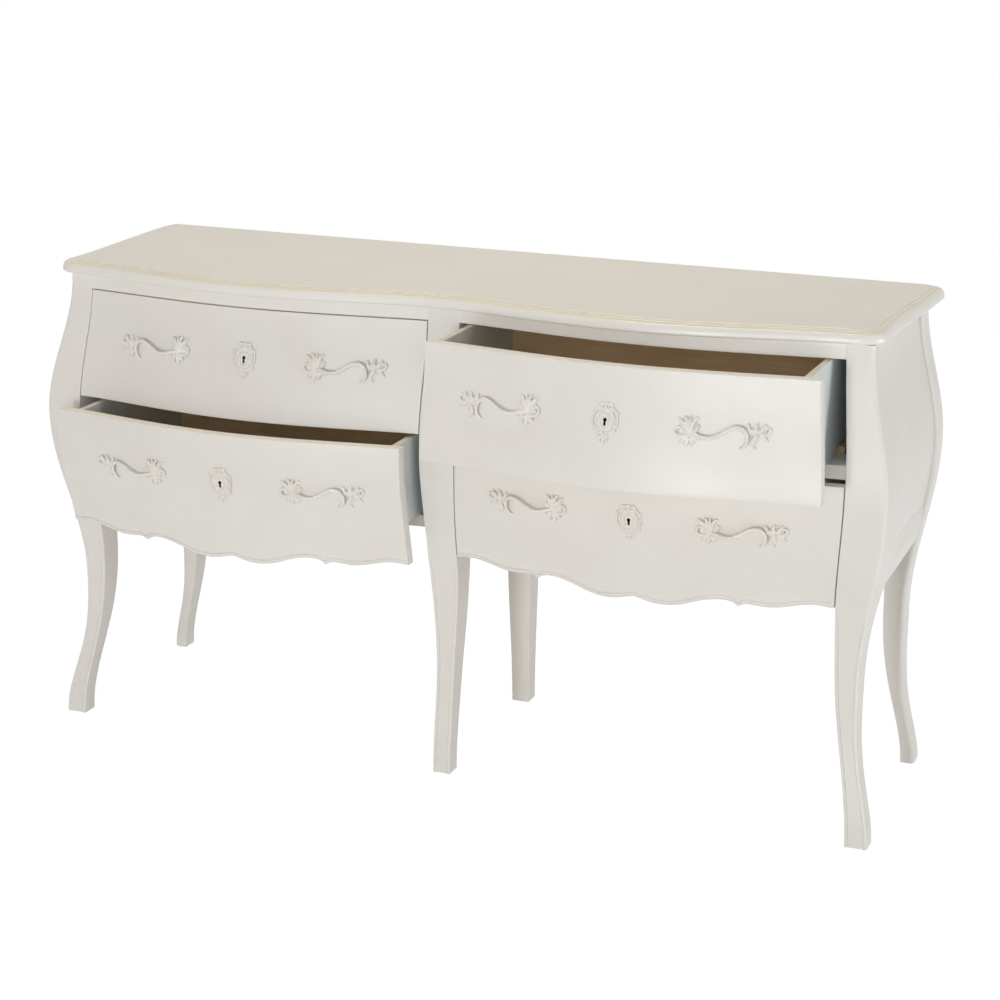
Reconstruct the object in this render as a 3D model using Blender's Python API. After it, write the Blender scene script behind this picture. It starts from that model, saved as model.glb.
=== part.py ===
"""Double chest of drawers with a serpentine, bellied front: metres, Z up, front towards -Y.

The shapes are first laid out with the middle of the chest at x = 0 and the floor at z = 0.
At the end everything hangs from one empty that puts the middle of the outer box on the origin.
"""

import math

import bmesh
import bpy
from mathutils import Matrix, Vector

# Clearances
JOINT_GAP = 0.0003
FRONT_GAP = 0.0012
LIP_GAP = 0.001
FITTING_GAP = 0.0009

# Overall height, thickness of the top board and depth of the case
HEIGHT = 0.80
TOP_THICKNESS = 0.0205
REAR_BACK_Y = 0.168
CASE_DEPTH = 0.348

# Levels of the case, each measured down from the one above it
TOP_RAIL_HEIGHT = 0.0237
UPPER_OPENING_HEIGHT = 0.1575
RAIL_HEIGHT = 0.021
LOWER_OPENING_HEIGHT = 0.141
PARTITION_DROP = 0.010
APRON_DROP = 0.039
DRAWER_GAP = 0.0064
CASE_TOP_Z = HEIGHT - TOP_THICKNESS - JOINT_GAP
TOP_RAIL_BOTTOM_Z = CASE_TOP_Z - TOP_RAIL_HEIGHT
DIVIDER_TOP_Z = TOP_RAIL_BOTTOM_Z - UPPER_OPENING_HEIGHT
DIVIDER_BOTTOM_Z = DIVIDER_TOP_Z - RAIL_HEIGHT
BOTTOM_RAIL_TOP_Z = DIVIDER_BOTTOM_Z - LOWER_OPENING_HEIGHT
BOTTOM_RAIL_BOTTOM_Z = BOTTOM_RAIL_TOP_Z - RAIL_HEIGHT
CASE_BOTTOM_Z = BOTTOM_RAIL_BOTTOM_Z - PARTITION_DROP
APRON_END_Z = BOTTOM_RAIL_BOTTOM_Z - APRON_DROP
UPPER_FRONT_BOTTOM_Z = DIVIDER_BOTTOM_Z + LIP_GAP
LOWER_FRONT_TOP_Z = UPPER_FRONT_BOTTOM_Z - DRAWER_GAP

# Front outline seen from the side: the line of the posts at four heights
FRONT_TOP_Y = REAR_BACK_Y - CASE_DEPTH
FRONT_BELLY = 0.034
FRONT_BELLY_DROP = 0.239
FRONT_WAIST = 0.0025
FRONT_WAIST_DROP = 0.514
CORNER_FOOT_REACH = 0.0345
MIDDLE_FOOT_REACH = 0.0245
FRONT_BELLY_Y = FRONT_TOP_Y - FRONT_BELLY
FRONT_WAIST_Y = FRONT_TOP_Y - FRONT_WAIST
CORNER_FOOT_Y = FRONT_TOP_Y - CORNER_FOOT_REACH
MIDDLE_FOOT_Y = FRONT_TOP_Y - MIDDLE_FOOT_REACH

# Side outline seen from the front, at the front posts and at the rear posts
SIDE_TOP_X = 0.6825
SIDE_BELLY = 0.039
SIDE_BELLY_DROP = 0.239
SIDE_WAIST = 0.0005
SIDE_WAIST_DROP = 0.529
SIDE_FOOT_REACH = 0.034
REAR_BELLY = 0.035
REAR_BELLY_DROP = 0.219
REAR_WAIST = 0.0035
REAR_WAIST_DROP = 0.514
REAR_FOOT_REACH = 0.025
SIDE_BELLY_X = SIDE_TOP_X + SIDE_BELLY
SIDE_WAIST_X = SIDE_TOP_X + SIDE_WAIST
SIDE_FOOT_X = SIDE_TOP_X + SIDE_FOOT_REACH
REAR_BELLY_X = SIDE_TOP_X + REAR_BELLY
REAR_WAIST_X = SIDE_TOP_X - REAR_WAIST
REAR_FOOT_X = SIDE_TOP_X + REAR_FOOT_REACH

# Serpentine of the front in each bay
BOW_START_X = 0.030
BOW_END_INSET = 0.0325
BOW_END_X = SIDE_TOP_X - BOW_END_INSET
BOW_TOP = 0.031
BOW_BELLY = 0.037
BOW_BELLY_DROP = 0.229
BOW_APRON = 0.030
BOW_APRON_DROP = 0.419
BOW_POWER_SHARE = 1.25

# Inner edge of the corner posts, which is the outer edge of the openings
CORNER_POST_WIDTH = 0.0412
CORNER_FOOT_WIDTH = 0.0355
OPENING_BELLY = 0.0157
OPENING_BELLY_DROP = 0.219
OPENING_WAIST = 0.0032
OPENING_WAIST_DROP = 0.439
OPENING_TOP_X = SIDE_TOP_X - CORNER_POST_WIDTH
OPENING_BELLY_X = OPENING_TOP_X + OPENING_BELLY
OPENING_WAIST_X = OPENING_TOP_X + OPENING_WAIST
CORNER_FOOT_INNER_X = SIDE_FOOT_X - CORNER_FOOT_WIDTH

# Half width of the front middle post
MIDDLE_TOP_HALF = 0.0265
MIDDLE_BELLY_HALF = 0.0300
MIDDLE_APRON_HALF = 0.0255
MIDDLE_APRON_DROP = 0.394
MIDDLE_ANKLE_HALF = 0.0152
MIDDLE_ANKLE_Z = 0.150
MIDDLE_FOOT_HALF = 0.0150

# Depth of the front posts and of the beads on their faces
POST_DEPTH = 0.042
POST_BACK_Y = FRONT_TOP_Y + POST_DEPTH
POST_BACK_Z = 0.300
FOOT_DEPTH = 0.031
BEAD_WIDTH = 0.0058
FIELD_RECESS = 0.0014
FIELD_TOP_DROP = 0.407
FIELD_FADE = 0.030
CORNER_ROUND = BEAD_WIDTH
CORNER_CUT = 0.29 * CORNER_ROUND

# Rear posts
REAR_DEPTH = 0.040
REAR_FOOT_INSET = 0.0015
REAR_FOOT_DEPTH = 0.0305
REAR_STRAIGHT_Z = 0.300
REAR_POST_WIDTH = 0.038
REAR_FOOT_WIDTH = 0.023
REAR_FRONT_Y = REAR_BACK_Y - REAR_DEPTH
REAR_FOOT_BACK_Y = REAR_BACK_Y - REAR_FOOT_INSET
REAR_FOOT_FRONT_Y = REAR_FOOT_BACK_Y - REAR_FOOT_DEPTH
REAR_INNER_X = SIDE_TOP_X - REAR_POST_WIDTH
REAR_FOOT_INNER_X = REAR_FOOT_X - REAR_FOOT_WIDTH
REAR_MIDDLE_HALF = 0.0215
REAR_MIDDLE_FOOT_HALF = 0.0158
REAR_CHAMFER = 0.006

# Top board, which overhangs the case
EAR_OVERHANG = 0.0215
REAR_OVERHANG = 0.0295
FRONT_OVERHANG = 0.024
BACK_OVERHANG = 0.035
EAR_SETBACK = 0.012
TOP_MIDDLE_X = -0.0065
TOP_EAR_HALF = SIDE_TOP_X + EAR_OVERHANG
TOP_REAR_HALF = SIDE_TOP_X + REAR_OVERHANG
TOP_FRONT_Y = FRONT_TOP_Y - FRONT_OVERHANG
TOP_EAR_Y = TOP_FRONT_Y + EAR_SETBACK
TOP_BACK_Y = REAR_BACK_Y + BACK_OVERHANG
TOP_BOW = 0.036
TOP_WAIST = 0.003
TOP_FRONT_CORNER = 0.045
TOP_REAR_CORNER = 0.032
TOP_EDGE_ROUND = 0.0085
TOP_FILLET_WIDTH = 0.005
TOP_STEP = 0.0014

# Side panels and the sloped rails under them
PANEL_THICKNESS = 0.012
PANEL_RECESS_FRONT = 0.002
PANEL_RECESS_REAR = 0.006
PANEL_HOLLOW = 0.008
PANEL_HEIGHT = 0.327
SIDE_RAIL_SILL = 0.028
SIDE_RAIL_FACE = 0.0295
SIDE_RAIL_TOP_Z = CASE_TOP_Z - PANEL_HEIGHT
SIDE_RAIL_BREAK_Z = SIDE_RAIL_TOP_Z - SIDE_RAIL_SILL
SIDE_RAIL_BOTTOM_Z = SIDE_RAIL_BREAK_Z - SIDE_RAIL_FACE
SIDE_RAIL_PROUD = 0.0015
BRACKET_REACH = 0.033
BRACKET_DROP = 0.044

# Front rails
RAIL_BACK_RELIEF = 0.006
RAIL_BACK_Y = POST_BACK_Y + RAIL_BACK_RELIEF

# Inside of the case
PARTITION_THICKNESS = 0.018
BACK_PANEL_THICKNESS = 0.008
INSIDE_RELIEF = 0.0095
BACK_PANEL_HALF = SIDE_TOP_X - PANEL_THICKNESS - PANEL_RECESS_REAR - INSIDE_RELIEF
RUNNER_THICKNESS = 0.018
RUNNER_OUTER_X = BACK_PANEL_HALF
RUNNER_WIDTH = 0.050
CROSS_RAIL_DEPTH = 0.025
GUIDE_WIDTH = 0.010
GUIDE_HEIGHT = 0.012

# Drawers
FRONT_THICKNESS = 0.0185
BOX_INNER_RELIEF = 0.0155
BOX_OUTER_RELIEF = 0.0193
BOX_INNER_X = MIDDLE_TOP_HALF + BOX_INNER_RELIEF
BOX_OUTER_X = OPENING_TOP_X - BOX_OUTER_RELIEF
BOX_SIDE_THICKNESS = 0.010
BOX_BACK_THICKNESS = 0.010
BOX_BACK_RELIEF = 0.0077
BOX_BACK_Y = REAR_FRONT_Y - JOINT_GAP - BACK_PANEL_THICKNESS - BOX_BACK_RELIEF
BOX_BOTTOM_THICKNESS = 0.006
BOX_BOTTOM_RAISE = 0.006
BOX_BACK_DROP = 0.008
UPPER_RIGHT_PULLED = 0.130
LOWER_LEFT_PULLED = 0.070

# Lower edge of the lower fronts, from the middle of the bay outwards
BAY_CENTRE_SHIFT = 0.0006
APRON_SHORT = 0.0018
BAY_CENTRE_X = (OPENING_TOP_X + MIDDLE_TOP_HALF) / 2.0 + BAY_CENTRE_SHIFT
APRON_DEPTH = 0.023
APRON_REACH = OPENING_TOP_X - BAY_CENTRE_X - APRON_SHORT
APRON_SHARES = (
    (0.0, 0.58), (0.045, 0.80), (0.10, 0.98), (0.18, 1.0), (0.26, 0.80), (0.34, 0.36),
    (0.42, 0.12), (0.47, 0.12), (0.505, 0.26), (0.54, 0.44), (0.575, 0.24), (0.62, 0.34),
    (0.68, 0.42), (0.74, 0.36), (0.82, 0.08), (0.90, -0.13), (0.95, -0.10), (1.0, 0.02),
)

# Fittings: their middle line in each bay, from the middle of the chest
FITTINGS_INWARD_LEFT = 0.0040
FITTINGS_OUTWARD_RIGHT = 0.0010
FITTINGS_X = {
    "left": BAY_CENTRE_X - FITTINGS_INWARD_LEFT,
    "right": BAY_CENTRE_X + FITTINGS_OUTWARD_RIGHT,
}
PULL_OFFSET = 0.173
UPPER_PULL_RISE = 0.075
LOWER_PULL_RISE = 0.054
PULL_HALF_LENGTH = 0.0705
LEFT_PULL_SLOPE = 0.045
BAR_RADIUS = 0.0032
UPPER_KEY_RISE = 0.079
LOWER_KEY_RISE = 0.057
PLATE_HALF_WIDTH = 0.0225
PLATE_ABOVE_KEY = 0.026
PLATE_BELOW_KEY = 0.036
PLATE_HEIGHT = 0.0042
KEY_HEAD_RADIUS = 0.0029
KEY_SLOT_HALF = 0.0017
KEY_SLOT_LENGTH = 0.0085
LOCK_HALF_WIDTH = 0.027
LOCK_HALF_HEIGHT = 0.022
LOCK_DEPTH = 0.012

# Bar of a right-hand pull: along, up and out as shares of its half length
BAR_SHARES = (
    (-0.66, -0.04, 0.07), (-0.52, -0.09, 0.18), (-0.34, -0.12, 0.23), (-0.16, -0.09, 0.245),
    (0.00, 0.00, 0.245), (0.16, 0.11, 0.24), (0.32, 0.18, 0.215), (0.46, 0.15, 0.15),
    (0.55, 0.04, 0.07),
)
# Leaves of a right-hand pull: place along and up, half sizes along, across and out, turn
LEAF_SHARES = (
    (-0.66, -0.06, 0.17, 0.12, 0.11, 0.0), (-0.72, 0.15, 0.16, 0.055, 0.09, 1.85),
    (-0.55, 0.16, 0.15, 0.055, 0.09, 1.35), (-0.86, 0.00, 0.13, 0.085, 0.08, 0.2),
    (-0.65, -0.24, 0.15, 0.06, 0.07, 1.45), (0.62, 0.06, 0.16, 0.12, 0.11, 0.2),
    (0.57, 0.20, 0.13, 0.055, 0.09, 1.75), (0.76, 0.16, 0.14, 0.055, 0.09, 0.9),
    (0.85, 0.04, 0.14, 0.085, 0.08, -0.2), (0.52, -0.15, 0.16, 0.055, 0.08, 1.35),
    (0.67, -0.14, 0.16, 0.055, 0.08, 1.85),
)
# Outline of an escutcheon: across and up, as shares of its half width and of its reach
PLATE_SHARES = (
    (0.0, 0.92), (0.16, 1.0), (0.38, 0.88), (0.62, 0.94), (0.86, 0.76), (0.84, 0.44),
    (1.0, 0.18), (0.92, -0.18), (0.78, -0.30), (0.80, -0.52), (0.52, -0.58), (0.34, -0.84),
    (0.0, -1.0),
)

PARTS = bpy.data.collections.new("double_chest_of_drawers")
CUTTERS = bpy.data.collections.new("cutters")
MATERIALS = {}


def clear_scene():
    """Remove what the scene holds and link the two collections."""
    for obj in list(bpy.data.objects):
        bpy.data.objects.remove(obj, do_unlink=True)
    bpy.context.scene.collection.children.link(PARTS)
    bpy.context.scene.collection.children.link(CUTTERS)


def ease(share, power=1.0):
    """Half a cosine wave from 0 to 1, with the turn moved by the power."""
    share = min(max(share, 0.0), 1.0) ** power
    return (1.0 - math.cos(math.pi * share)) / 2.0


def through(height, stations, last_power=1.0):
    """A smooth line through (height, value) stations listed from the top down."""
    if height >= stations[0][0]:
        return stations[0][1]
    for upper, lower in zip(stations, stations[1:]):
        if height >= lower[0]:
            share = (upper[0] - height) / (upper[0] - lower[0])
            power = last_power if lower is stations[-1] else 1.0
            return upper[1] + (lower[1] - upper[1]) * ease(share, power)
    return stations[-1][1]


def post_line(height, foot_y):
    """Front line of a post, seen from the side."""
    stations = (
        (CASE_TOP_Z, FRONT_TOP_Y),
        (CASE_TOP_Z - FRONT_BELLY_DROP, FRONT_BELLY_Y),
        (CASE_TOP_Z - FRONT_WAIST_DROP, FRONT_WAIST_Y),
        (0.0, foot_y),
    )
    return through(height, stations, 1.4)


def bow_shape(across):
    """Share of the bow at a distance from the middle of the chest."""
    share = (abs(across) - BOW_START_X) / (BOW_END_X - BOW_START_X)
    share = min(max(share, 0.0), 1.0)
    return math.sin(math.pi * share) ** BOW_POWER_SHARE


def front_y(across, height):
    """Face of the drawer fronts, the rails and the posts."""
    stations = (
        (CASE_TOP_Z, BOW_TOP),
        (CASE_TOP_Z - BOW_BELLY_DROP, BOW_BELLY),
        (CASE_TOP_Z - BOW_APRON_DROP, BOW_APRON),
    )
    bow = through(height, stations) * bow_shape(across)
    return post_line(height, CORNER_FOOT_Y) - bow


def side_x(height):
    """Outer face of the front corner posts."""
    stations = (
        (CASE_TOP_Z, SIDE_TOP_X),
        (CASE_TOP_Z - SIDE_BELLY_DROP, SIDE_BELLY_X),
        (CASE_TOP_Z - SIDE_WAIST_DROP, SIDE_WAIST_X),
        (0.0, SIDE_FOOT_X),
    )
    return through(height, stations, 1.5)


def rear_x(height):
    """Outer face of the rear corner posts."""
    stations = (
        (CASE_TOP_Z, SIDE_TOP_X),
        (CASE_TOP_Z - REAR_BELLY_DROP, REAR_BELLY_X),
        (CASE_TOP_Z - REAR_WAIST_DROP, REAR_WAIST_X),
        (0.0, REAR_FOOT_X),
    )
    return through(height, stations, 2.0)


def opening_x(height):
    """Inner edge of the corner posts."""
    stations = (
        (CASE_TOP_Z, OPENING_TOP_X),
        (CASE_TOP_Z - OPENING_BELLY_DROP, OPENING_BELLY_X),
        (CASE_TOP_Z - OPENING_WAIST_DROP, OPENING_WAIST_X),
        (0.0, CORNER_FOOT_INNER_X),
    )
    return through(height, stations, 1.4)


def middle_half(height):
    """Half width of the front middle post."""
    stations = (
        (CASE_TOP_Z, MIDDLE_TOP_HALF),
        (CASE_TOP_Z - OPENING_BELLY_DROP, MIDDLE_BELLY_HALF),
        (CASE_TOP_Z - MIDDLE_APRON_DROP, MIDDLE_APRON_HALF),
        (MIDDLE_ANKLE_Z, MIDDLE_ANKLE_HALF),
        (0.0, MIDDLE_FOOT_HALF),
    )
    return through(height, stations)


def post_back(height, foot_y):
    """Back face of a front post."""
    stations = ((POST_BACK_Z, POST_BACK_Y), (0.0, foot_y + FOOT_DEPTH))
    return through(height, stations, 1.2)


def steps(first, last, count):
    """Evenly spaced values with both ends."""
    return [first + (last - first) * index / count for index in range(count + 1)]


def paint(name, colour, roughness):
    """One material for one node."""
    material = bpy.data.materials.new(name)
    material.use_nodes = True
    shader = material.node_tree.nodes["Principled BSDF"]
    shader.inputs["Base Color"].default_value = (*colour, 1.0)
    shader.inputs["Roughness"].default_value = roughness
    return material


def outward(bm):
    """Turn all faces outwards."""
    bmesh.ops.recalc_face_normals(bm, faces=bm.faces)
    if bm.calc_volume(signed=True) < 0.0:
        bmesh.ops.reverse_faces(bm, faces=bm.faces)


def node(name, bm, kind, parent=None, smooth=False):
    """Close a bmesh into a named object of the part."""
    outward(bm)
    mesh = bpy.data.meshes.new(name)
    bm.to_mesh(mesh)
    bm.free()
    obj = bpy.data.objects.new(name, mesh)
    PARTS.objects.link(obj)
    colour, roughness = MATERIALS[kind]
    mesh.materials.append(paint(name, colour, roughness))
    mesh.polygons.foreach_set("use_smooth", [smooth] * len(mesh.polygons))
    obj.parent = parent
    return obj


def sheet(columns, rows, place):
    """A grid turned into a closed block: place(u, v, side) gives each point."""
    bm = bmesh.new()
    wide = len(columns)
    bmesh.ops.create_grid(bm, x_segments=wide - 1, y_segments=len(rows) - 1, size=1.0)
    bm.verts.ensure_lookup_table()
    first = list(bm.verts)
    shares = [(columns[i % wide], rows[i // wide]) for i in range(len(first))]
    made = bmesh.ops.extrude_face_region(bm, geom=list(bm.faces))
    bm.verts.ensure_lookup_table()
    second = [item for item in made["geom"] if isinstance(item, bmesh.types.BMVert)]
    partner = {tuple(vert.co): vert for vert in second}
    pairs = [(vert, partner[tuple(vert.co)], share) for vert, share in zip(first, shares)]
    for front, back, (u, v) in pairs:
        front.co = place(u, v, 0)
        back.co = place(u, v, 1)
    return bm


def tower(outline, levels, place):
    """A closed outline lifted ring by ring: place(point, level) gives each point."""
    bm = bmesh.new()
    bmesh.ops.create_circle(bm, cap_ends=True, segments=len(outline), radius=1.0)
    bm.verts.ensure_lookup_table()
    ring = list(bm.verts)
    for vert, point in zip(ring, outline):
        vert.co = place(point, levels[0])
    for level in levels[1:]:
        face = next(item for item in bm.faces if set(item.verts) == set(ring))
        before = {tuple(vert.co): index for index, vert in enumerate(ring)}
        made = bmesh.ops.extrude_face_region(bm, geom=[face])
        fresh = [item for item in made["geom"] if isinstance(item, bmesh.types.BMVert)]
        fresh.sort(key=lambda vert: before[tuple(vert.co)])
        if level is not levels[1] and face.is_valid:
            bmesh.ops.delete(bm, geom=[face], context="FACES_ONLY")
        ring = fresh
        for vert, point in zip(ring, outline):
            vert.co = place(point, level)
    return bm


def block(low, high):
    """A plain box between two corners."""
    bm = bmesh.new()
    bmesh.ops.create_cube(bm, size=1.0)
    for vert in bm.verts:
        for axis in range(3):
            vert.co[axis] = high[axis] if vert.co[axis] > 0 else low[axis]
    return bm


def mesh_object(bm, name):
    """A helper object for Booleans, kept out of the part."""
    outward(bm)
    mesh = bpy.data.meshes.new(name)
    bm.to_mesh(mesh)
    bm.free()
    obj = bpy.data.objects.new(name, mesh)
    CUTTERS.objects.link(obj)
    obj.hide_render = True
    obj.display_type = "WIRE"
    return obj


def combined(base, others, operation):
    """The evaluated mesh of a base after exact Booleans, as a bmesh. The helpers are removed."""
    for other in others:
        modifier = base.modifiers.new(other.name, "BOOLEAN")
        modifier.operation = operation
        modifier.solver = "EXACT"
        modifier.object = other
    graph = bpy.context.evaluated_depsgraph_get()
    mesh = bpy.data.meshes.new_from_object(base.evaluated_get(graph), depsgraph=graph)
    bm = bmesh.new()
    bm.from_mesh(mesh)
    bpy.data.meshes.remove(mesh)
    for obj in [base, *others]:
        bpy.data.objects.remove(obj, do_unlink=True)
    return bm


def mirrored(place, sign):
    """The same placing on the left (-1) or on the right (1)."""
    def placed(*args):
        point = place(*args)
        return Vector((point[0] * sign, point[1], point[2]))
    return placed


def top_outline():
    """Plan of the top board as (point, outward direction) pairs."""
    right = []
    ear_x = TOP_EAR_HALF - TOP_FRONT_CORNER
    for across in steps(0.0, ear_x, 22):
        turn = ease((across - BOW_END_X / 2.0) / (ear_x - BOW_END_X / 2.0))
        base = TOP_FRONT_Y + (TOP_EAR_Y - TOP_FRONT_Y) * turn
        right.append((across, base - TOP_BOW * bow_shape(across)))
    side_start = right[-1][1] + TOP_FRONT_CORNER
    for turn in steps(0.0, math.pi / 2.0, 5)[1:-1]:
        along = TOP_FRONT_CORNER * math.sin(turn)
        right.append((ear_x + along, side_start - TOP_FRONT_CORNER * math.cos(turn)))
    side_end = TOP_BACK_Y - TOP_REAR_CORNER
    for share in steps(0.0, 1.0, 10):
        half = TOP_EAR_HALF + (TOP_REAR_HALF - TOP_EAR_HALF) * ease(share)
        half -= TOP_WAIST * math.sin(math.pi * share ** 0.45) ** 2
        right.append((half, side_start + (side_end - side_start) * share))
    for turn in steps(0.0, math.pi / 2.0, 4)[1:]:
        back = TOP_REAR_CORNER * math.sin(turn)
        inset = TOP_REAR_CORNER * (1.0 - math.cos(turn))
        right.append((TOP_REAR_HALF - inset, side_end + back))
    left = [(-across, along) for across, along in reversed(right) if across > 0.0]
    points = [Vector((TOP_MIDDLE_X + across, along)) for across, along in right + left]
    pairs = []
    for index, point in enumerate(points):
        tangent = points[(index + 1) % len(points)] - points[index - 1]
        pairs.append((point, Vector((tangent.y, -tangent.x)).normalized()))
    return pairs


def top_board():
    """The slab with its rounded edge and a low raised field inside a moulding."""
    low = HEIGHT - TOP_THICKNESS
    shoulder = HEIGHT - 2.0 * TOP_STEP
    outer_line = TOP_EDGE_ROUND + TOP_STEP
    inner_line = outer_line + TOP_FILLET_WIDTH
    levels = (
        (low, TOP_EDGE_ROUND),
        (low + 0.35 * TOP_EDGE_ROUND, 0.35 * TOP_EDGE_ROUND),
        (low + 0.90 * TOP_EDGE_ROUND, 0.0),
        (low + 1.30 * TOP_EDGE_ROUND, 0.05 * TOP_EDGE_ROUND),
        (low + 1.80 * TOP_EDGE_ROUND, 0.45 * TOP_EDGE_ROUND),
        (shoulder, TOP_EDGE_ROUND),
        (shoulder + TOP_STEP, outer_line),
        (shoulder + TOP_STEP, inner_line),
        (HEIGHT, inner_line + TOP_STEP),
    )

    def place(pair, level):
        point = pair[0] - pair[1] * level[1]
        return Vector((point.x, point.y, level[0]))

    node("top_board", tower(top_outline(), levels, place), "top")


def field_recess(height):
    """How deep the field lies between the beads of a front leg."""
    return FIELD_RECESS * ease((CASE_TOP_Z - FIELD_TOP_DROP - height) / FIELD_FADE)


def front_post(name, inner, outer, foot_y, sign, both):
    """A front post with its leg: a bead along each edge of the face."""
    section = [
        ("in", BEAD_WIDTH, 0.0, False),
        ("in", BEAD_WIDTH + FIELD_RECESS, 0.0, True),
        ("out", BEAD_WIDTH + FIELD_RECESS, 0.0, True),
        ("out", BEAD_WIDTH, 0.0, False),
        ("out", CORNER_CUT, CORNER_CUT, False),
        ("out", 0.0, CORNER_ROUND, False),
        ("out", 0.0, None, False),
        ("in", 0.0, None, False),
    ]
    if both:
        section += [("in", 0.0, CORNER_ROUND, False), ("in", CORNER_CUT, CORNER_CUT, False)]
    else:
        section.insert(0, ("in", 0.0, 0.0, False))

    def place(point, height):
        edge, inset, depth, sunk = point
        low, high = inner(height), outer(height)
        across = low + inset if edge == "in" else high - inset
        line = post_line(height, foot_y)
        back = post_back(height, foot_y)
        along = back if depth is None else line + depth
        if sunk:
            along += field_recess(height)
        return Vector((across, along, height))

    heights = steps(0.0, CASE_TOP_Z, 26)
    node(name, tower(section, heights, mirrored(place, sign)), "body", smooth=False)


def front_posts():
    """Two corner posts and the middle one."""
    for side, sign in (("left", -1), ("right", 1)):
        front_post(f"leg_front_{side}", opening_x, side_x, CORNER_FOOT_Y, sign, False)
    front_post(
        "leg_front_middle",
        lambda height: -middle_half(height),
        middle_half,
        MIDDLE_FOOT_Y,
        1,
        True,
    )


def rear_inner(height):
    """Inner face of a rear corner post."""
    stations = ((REAR_STRAIGHT_Z, REAR_INNER_X), (0.0, REAR_FOOT_INNER_X))
    return through(height, stations, 1.5)


def rear_half(height):
    """Half width of the rear middle post."""
    stations = ((REAR_STRAIGHT_Z, REAR_MIDDLE_HALF), (0.0, REAR_MIDDLE_FOOT_HALF))
    return through(height, stations)


def rear_post(name, inner, outer, chamfer, sign):
    """A rear post: flat at the back, tapered to the foot."""
    section = [("in", 0.0, 0.0), ("out", chamfer, 0.0), ("out", 0.0, chamfer)]
    if not chamfer:
        section = section[:2]
    section += [("out", 0.0, None), ("in", 0.0, None)]

    def place(point, height):
        edge, inset, depth = point
        across = inner(height) if edge == "in" else outer(height) - inset
        front_stations = ((REAR_STRAIGHT_Z, REAR_FRONT_Y), (0.0, REAR_FOOT_FRONT_Y))
        back_stations = ((REAR_STRAIGHT_Z, REAR_BACK_Y), (0.0, REAR_FOOT_BACK_Y))
        along = through(height, front_stations) + (depth or 0.0)
        if depth is None:
            along = through(height, back_stations)
        return Vector((across, along, height))

    heights = steps(0.0, CASE_TOP_Z, 20)
    node(name, tower(section, heights, mirrored(place, sign)), "body")


def rear_posts():
    """Two rear corner posts and the middle one."""
    for side, sign in (("left", -1), ("right", 1)):
        rear_post(f"leg_rear_{side}", rear_inner, rear_x, REAR_CHAMFER, sign)
    rear_post("leg_rear_middle", lambda height: -rear_half(height), rear_half, 0.0, 1)


def outer_x(along, height):
    """Plain outer face of the case between a front post and a rear post."""
    share = (along - POST_BACK_Y) / (REAR_FRONT_Y - POST_BACK_Y)
    return side_x(height) + (rear_x(height) - side_x(height)) * share


def panel_x(along, height):
    """Outer face of a side panel, hollow between the posts."""
    share = (along - POST_BACK_Y) / (REAR_FRONT_Y - POST_BACK_Y)
    recess = PANEL_RECESS_FRONT + (PANEL_RECESS_REAR - PANEL_RECESS_FRONT) * share
    recess += PANEL_HOLLOW * math.sin(math.pi * min(max(share, 0.0), 1.0))
    return outer_x(along, height) - recess


def side_panels():
    """A bellied panel on each side."""
    columns = steps(POST_BACK_Y + JOINT_GAP, REAR_FRONT_Y - JOINT_GAP, 6)
    rows = steps(SIDE_RAIL_TOP_Z + JOINT_GAP, CASE_TOP_Z, 12)

    def place(along, height, inside):
        across = panel_x(along, height) - PANEL_THICKNESS * inside
        return Vector((across, along, height))

    for side, sign in (("left", -1), ("right", 1)):
        node(f"side_panel_{side}", sheet(columns, rows, mirrored(place, sign)), "body")


def side_rails():
    """A sloped rail under each panel, with a bracket curve into the front leg."""
    front = POST_BACK_Y + JOINT_GAP
    back = REAR_FRONT_Y - JOINT_GAP
    turns = steps(math.pi / 2.0, 0.0, 6)
    columns = [front + BRACKET_REACH * (1.0 - math.sin(turn)) for turn in turns]
    columns += steps(columns[-1], back, 4)[1:]
    rows = (0.0, 0.5, 1.0)

    def rail_x(along, height):
        edge = outer_x(along, height) - SIDE_RAIL_PROUD
        share = (height - SIDE_RAIL_BREAK_Z) / (SIDE_RAIL_TOP_Z - SIDE_RAIL_BREAK_Z)
        return edge + (panel_x(along, height) - edge) * max(share, 0.0)

    def place(along, share, inside):
        reach = min(max((front + BRACKET_REACH - along) / BRACKET_REACH, 0.0), 1.0)
        drop = BRACKET_DROP * (1.0 - math.sqrt(1.0 - reach * reach))
        bottom = SIDE_RAIL_BOTTOM_Z - drop
        if share < rows[1] + 0.01:
            height = bottom + (SIDE_RAIL_BREAK_Z - bottom) * share / rows[1]
        else:
            height = SIDE_RAIL_TOP_Z
        across = rail_x(along, height)
        if inside:
            across = panel_x(along, SIDE_RAIL_BREAK_Z) - PANEL_THICKNESS - PANEL_RECESS_REAR
        return Vector((across, along, height))

    for side, sign in (("left", -1), ("right", 1)):
        node(f"side_rail_{side}", sheet(columns, rows, mirrored(place, sign)), "body")


def front_rail(name, low, high, setback):
    """A rail across one bay: its face follows the front."""
    columns = steps(0.0, 1.0, 14)
    rows = (low, high)

    def place(share, height, inside):
        start = middle_half(height) + JOINT_GAP
        end = opening_x(height) - JOINT_GAP
        across = start + (end - start) * share
        along = RAIL_BACK_Y if inside else front_y(across, height) + setback
        return Vector((across, along, height))

    for side, sign in (("left", -1), ("right", 1)):
        node(f"{name}_{side}", sheet(columns, rows, mirrored(place, sign)), "body")


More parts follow.
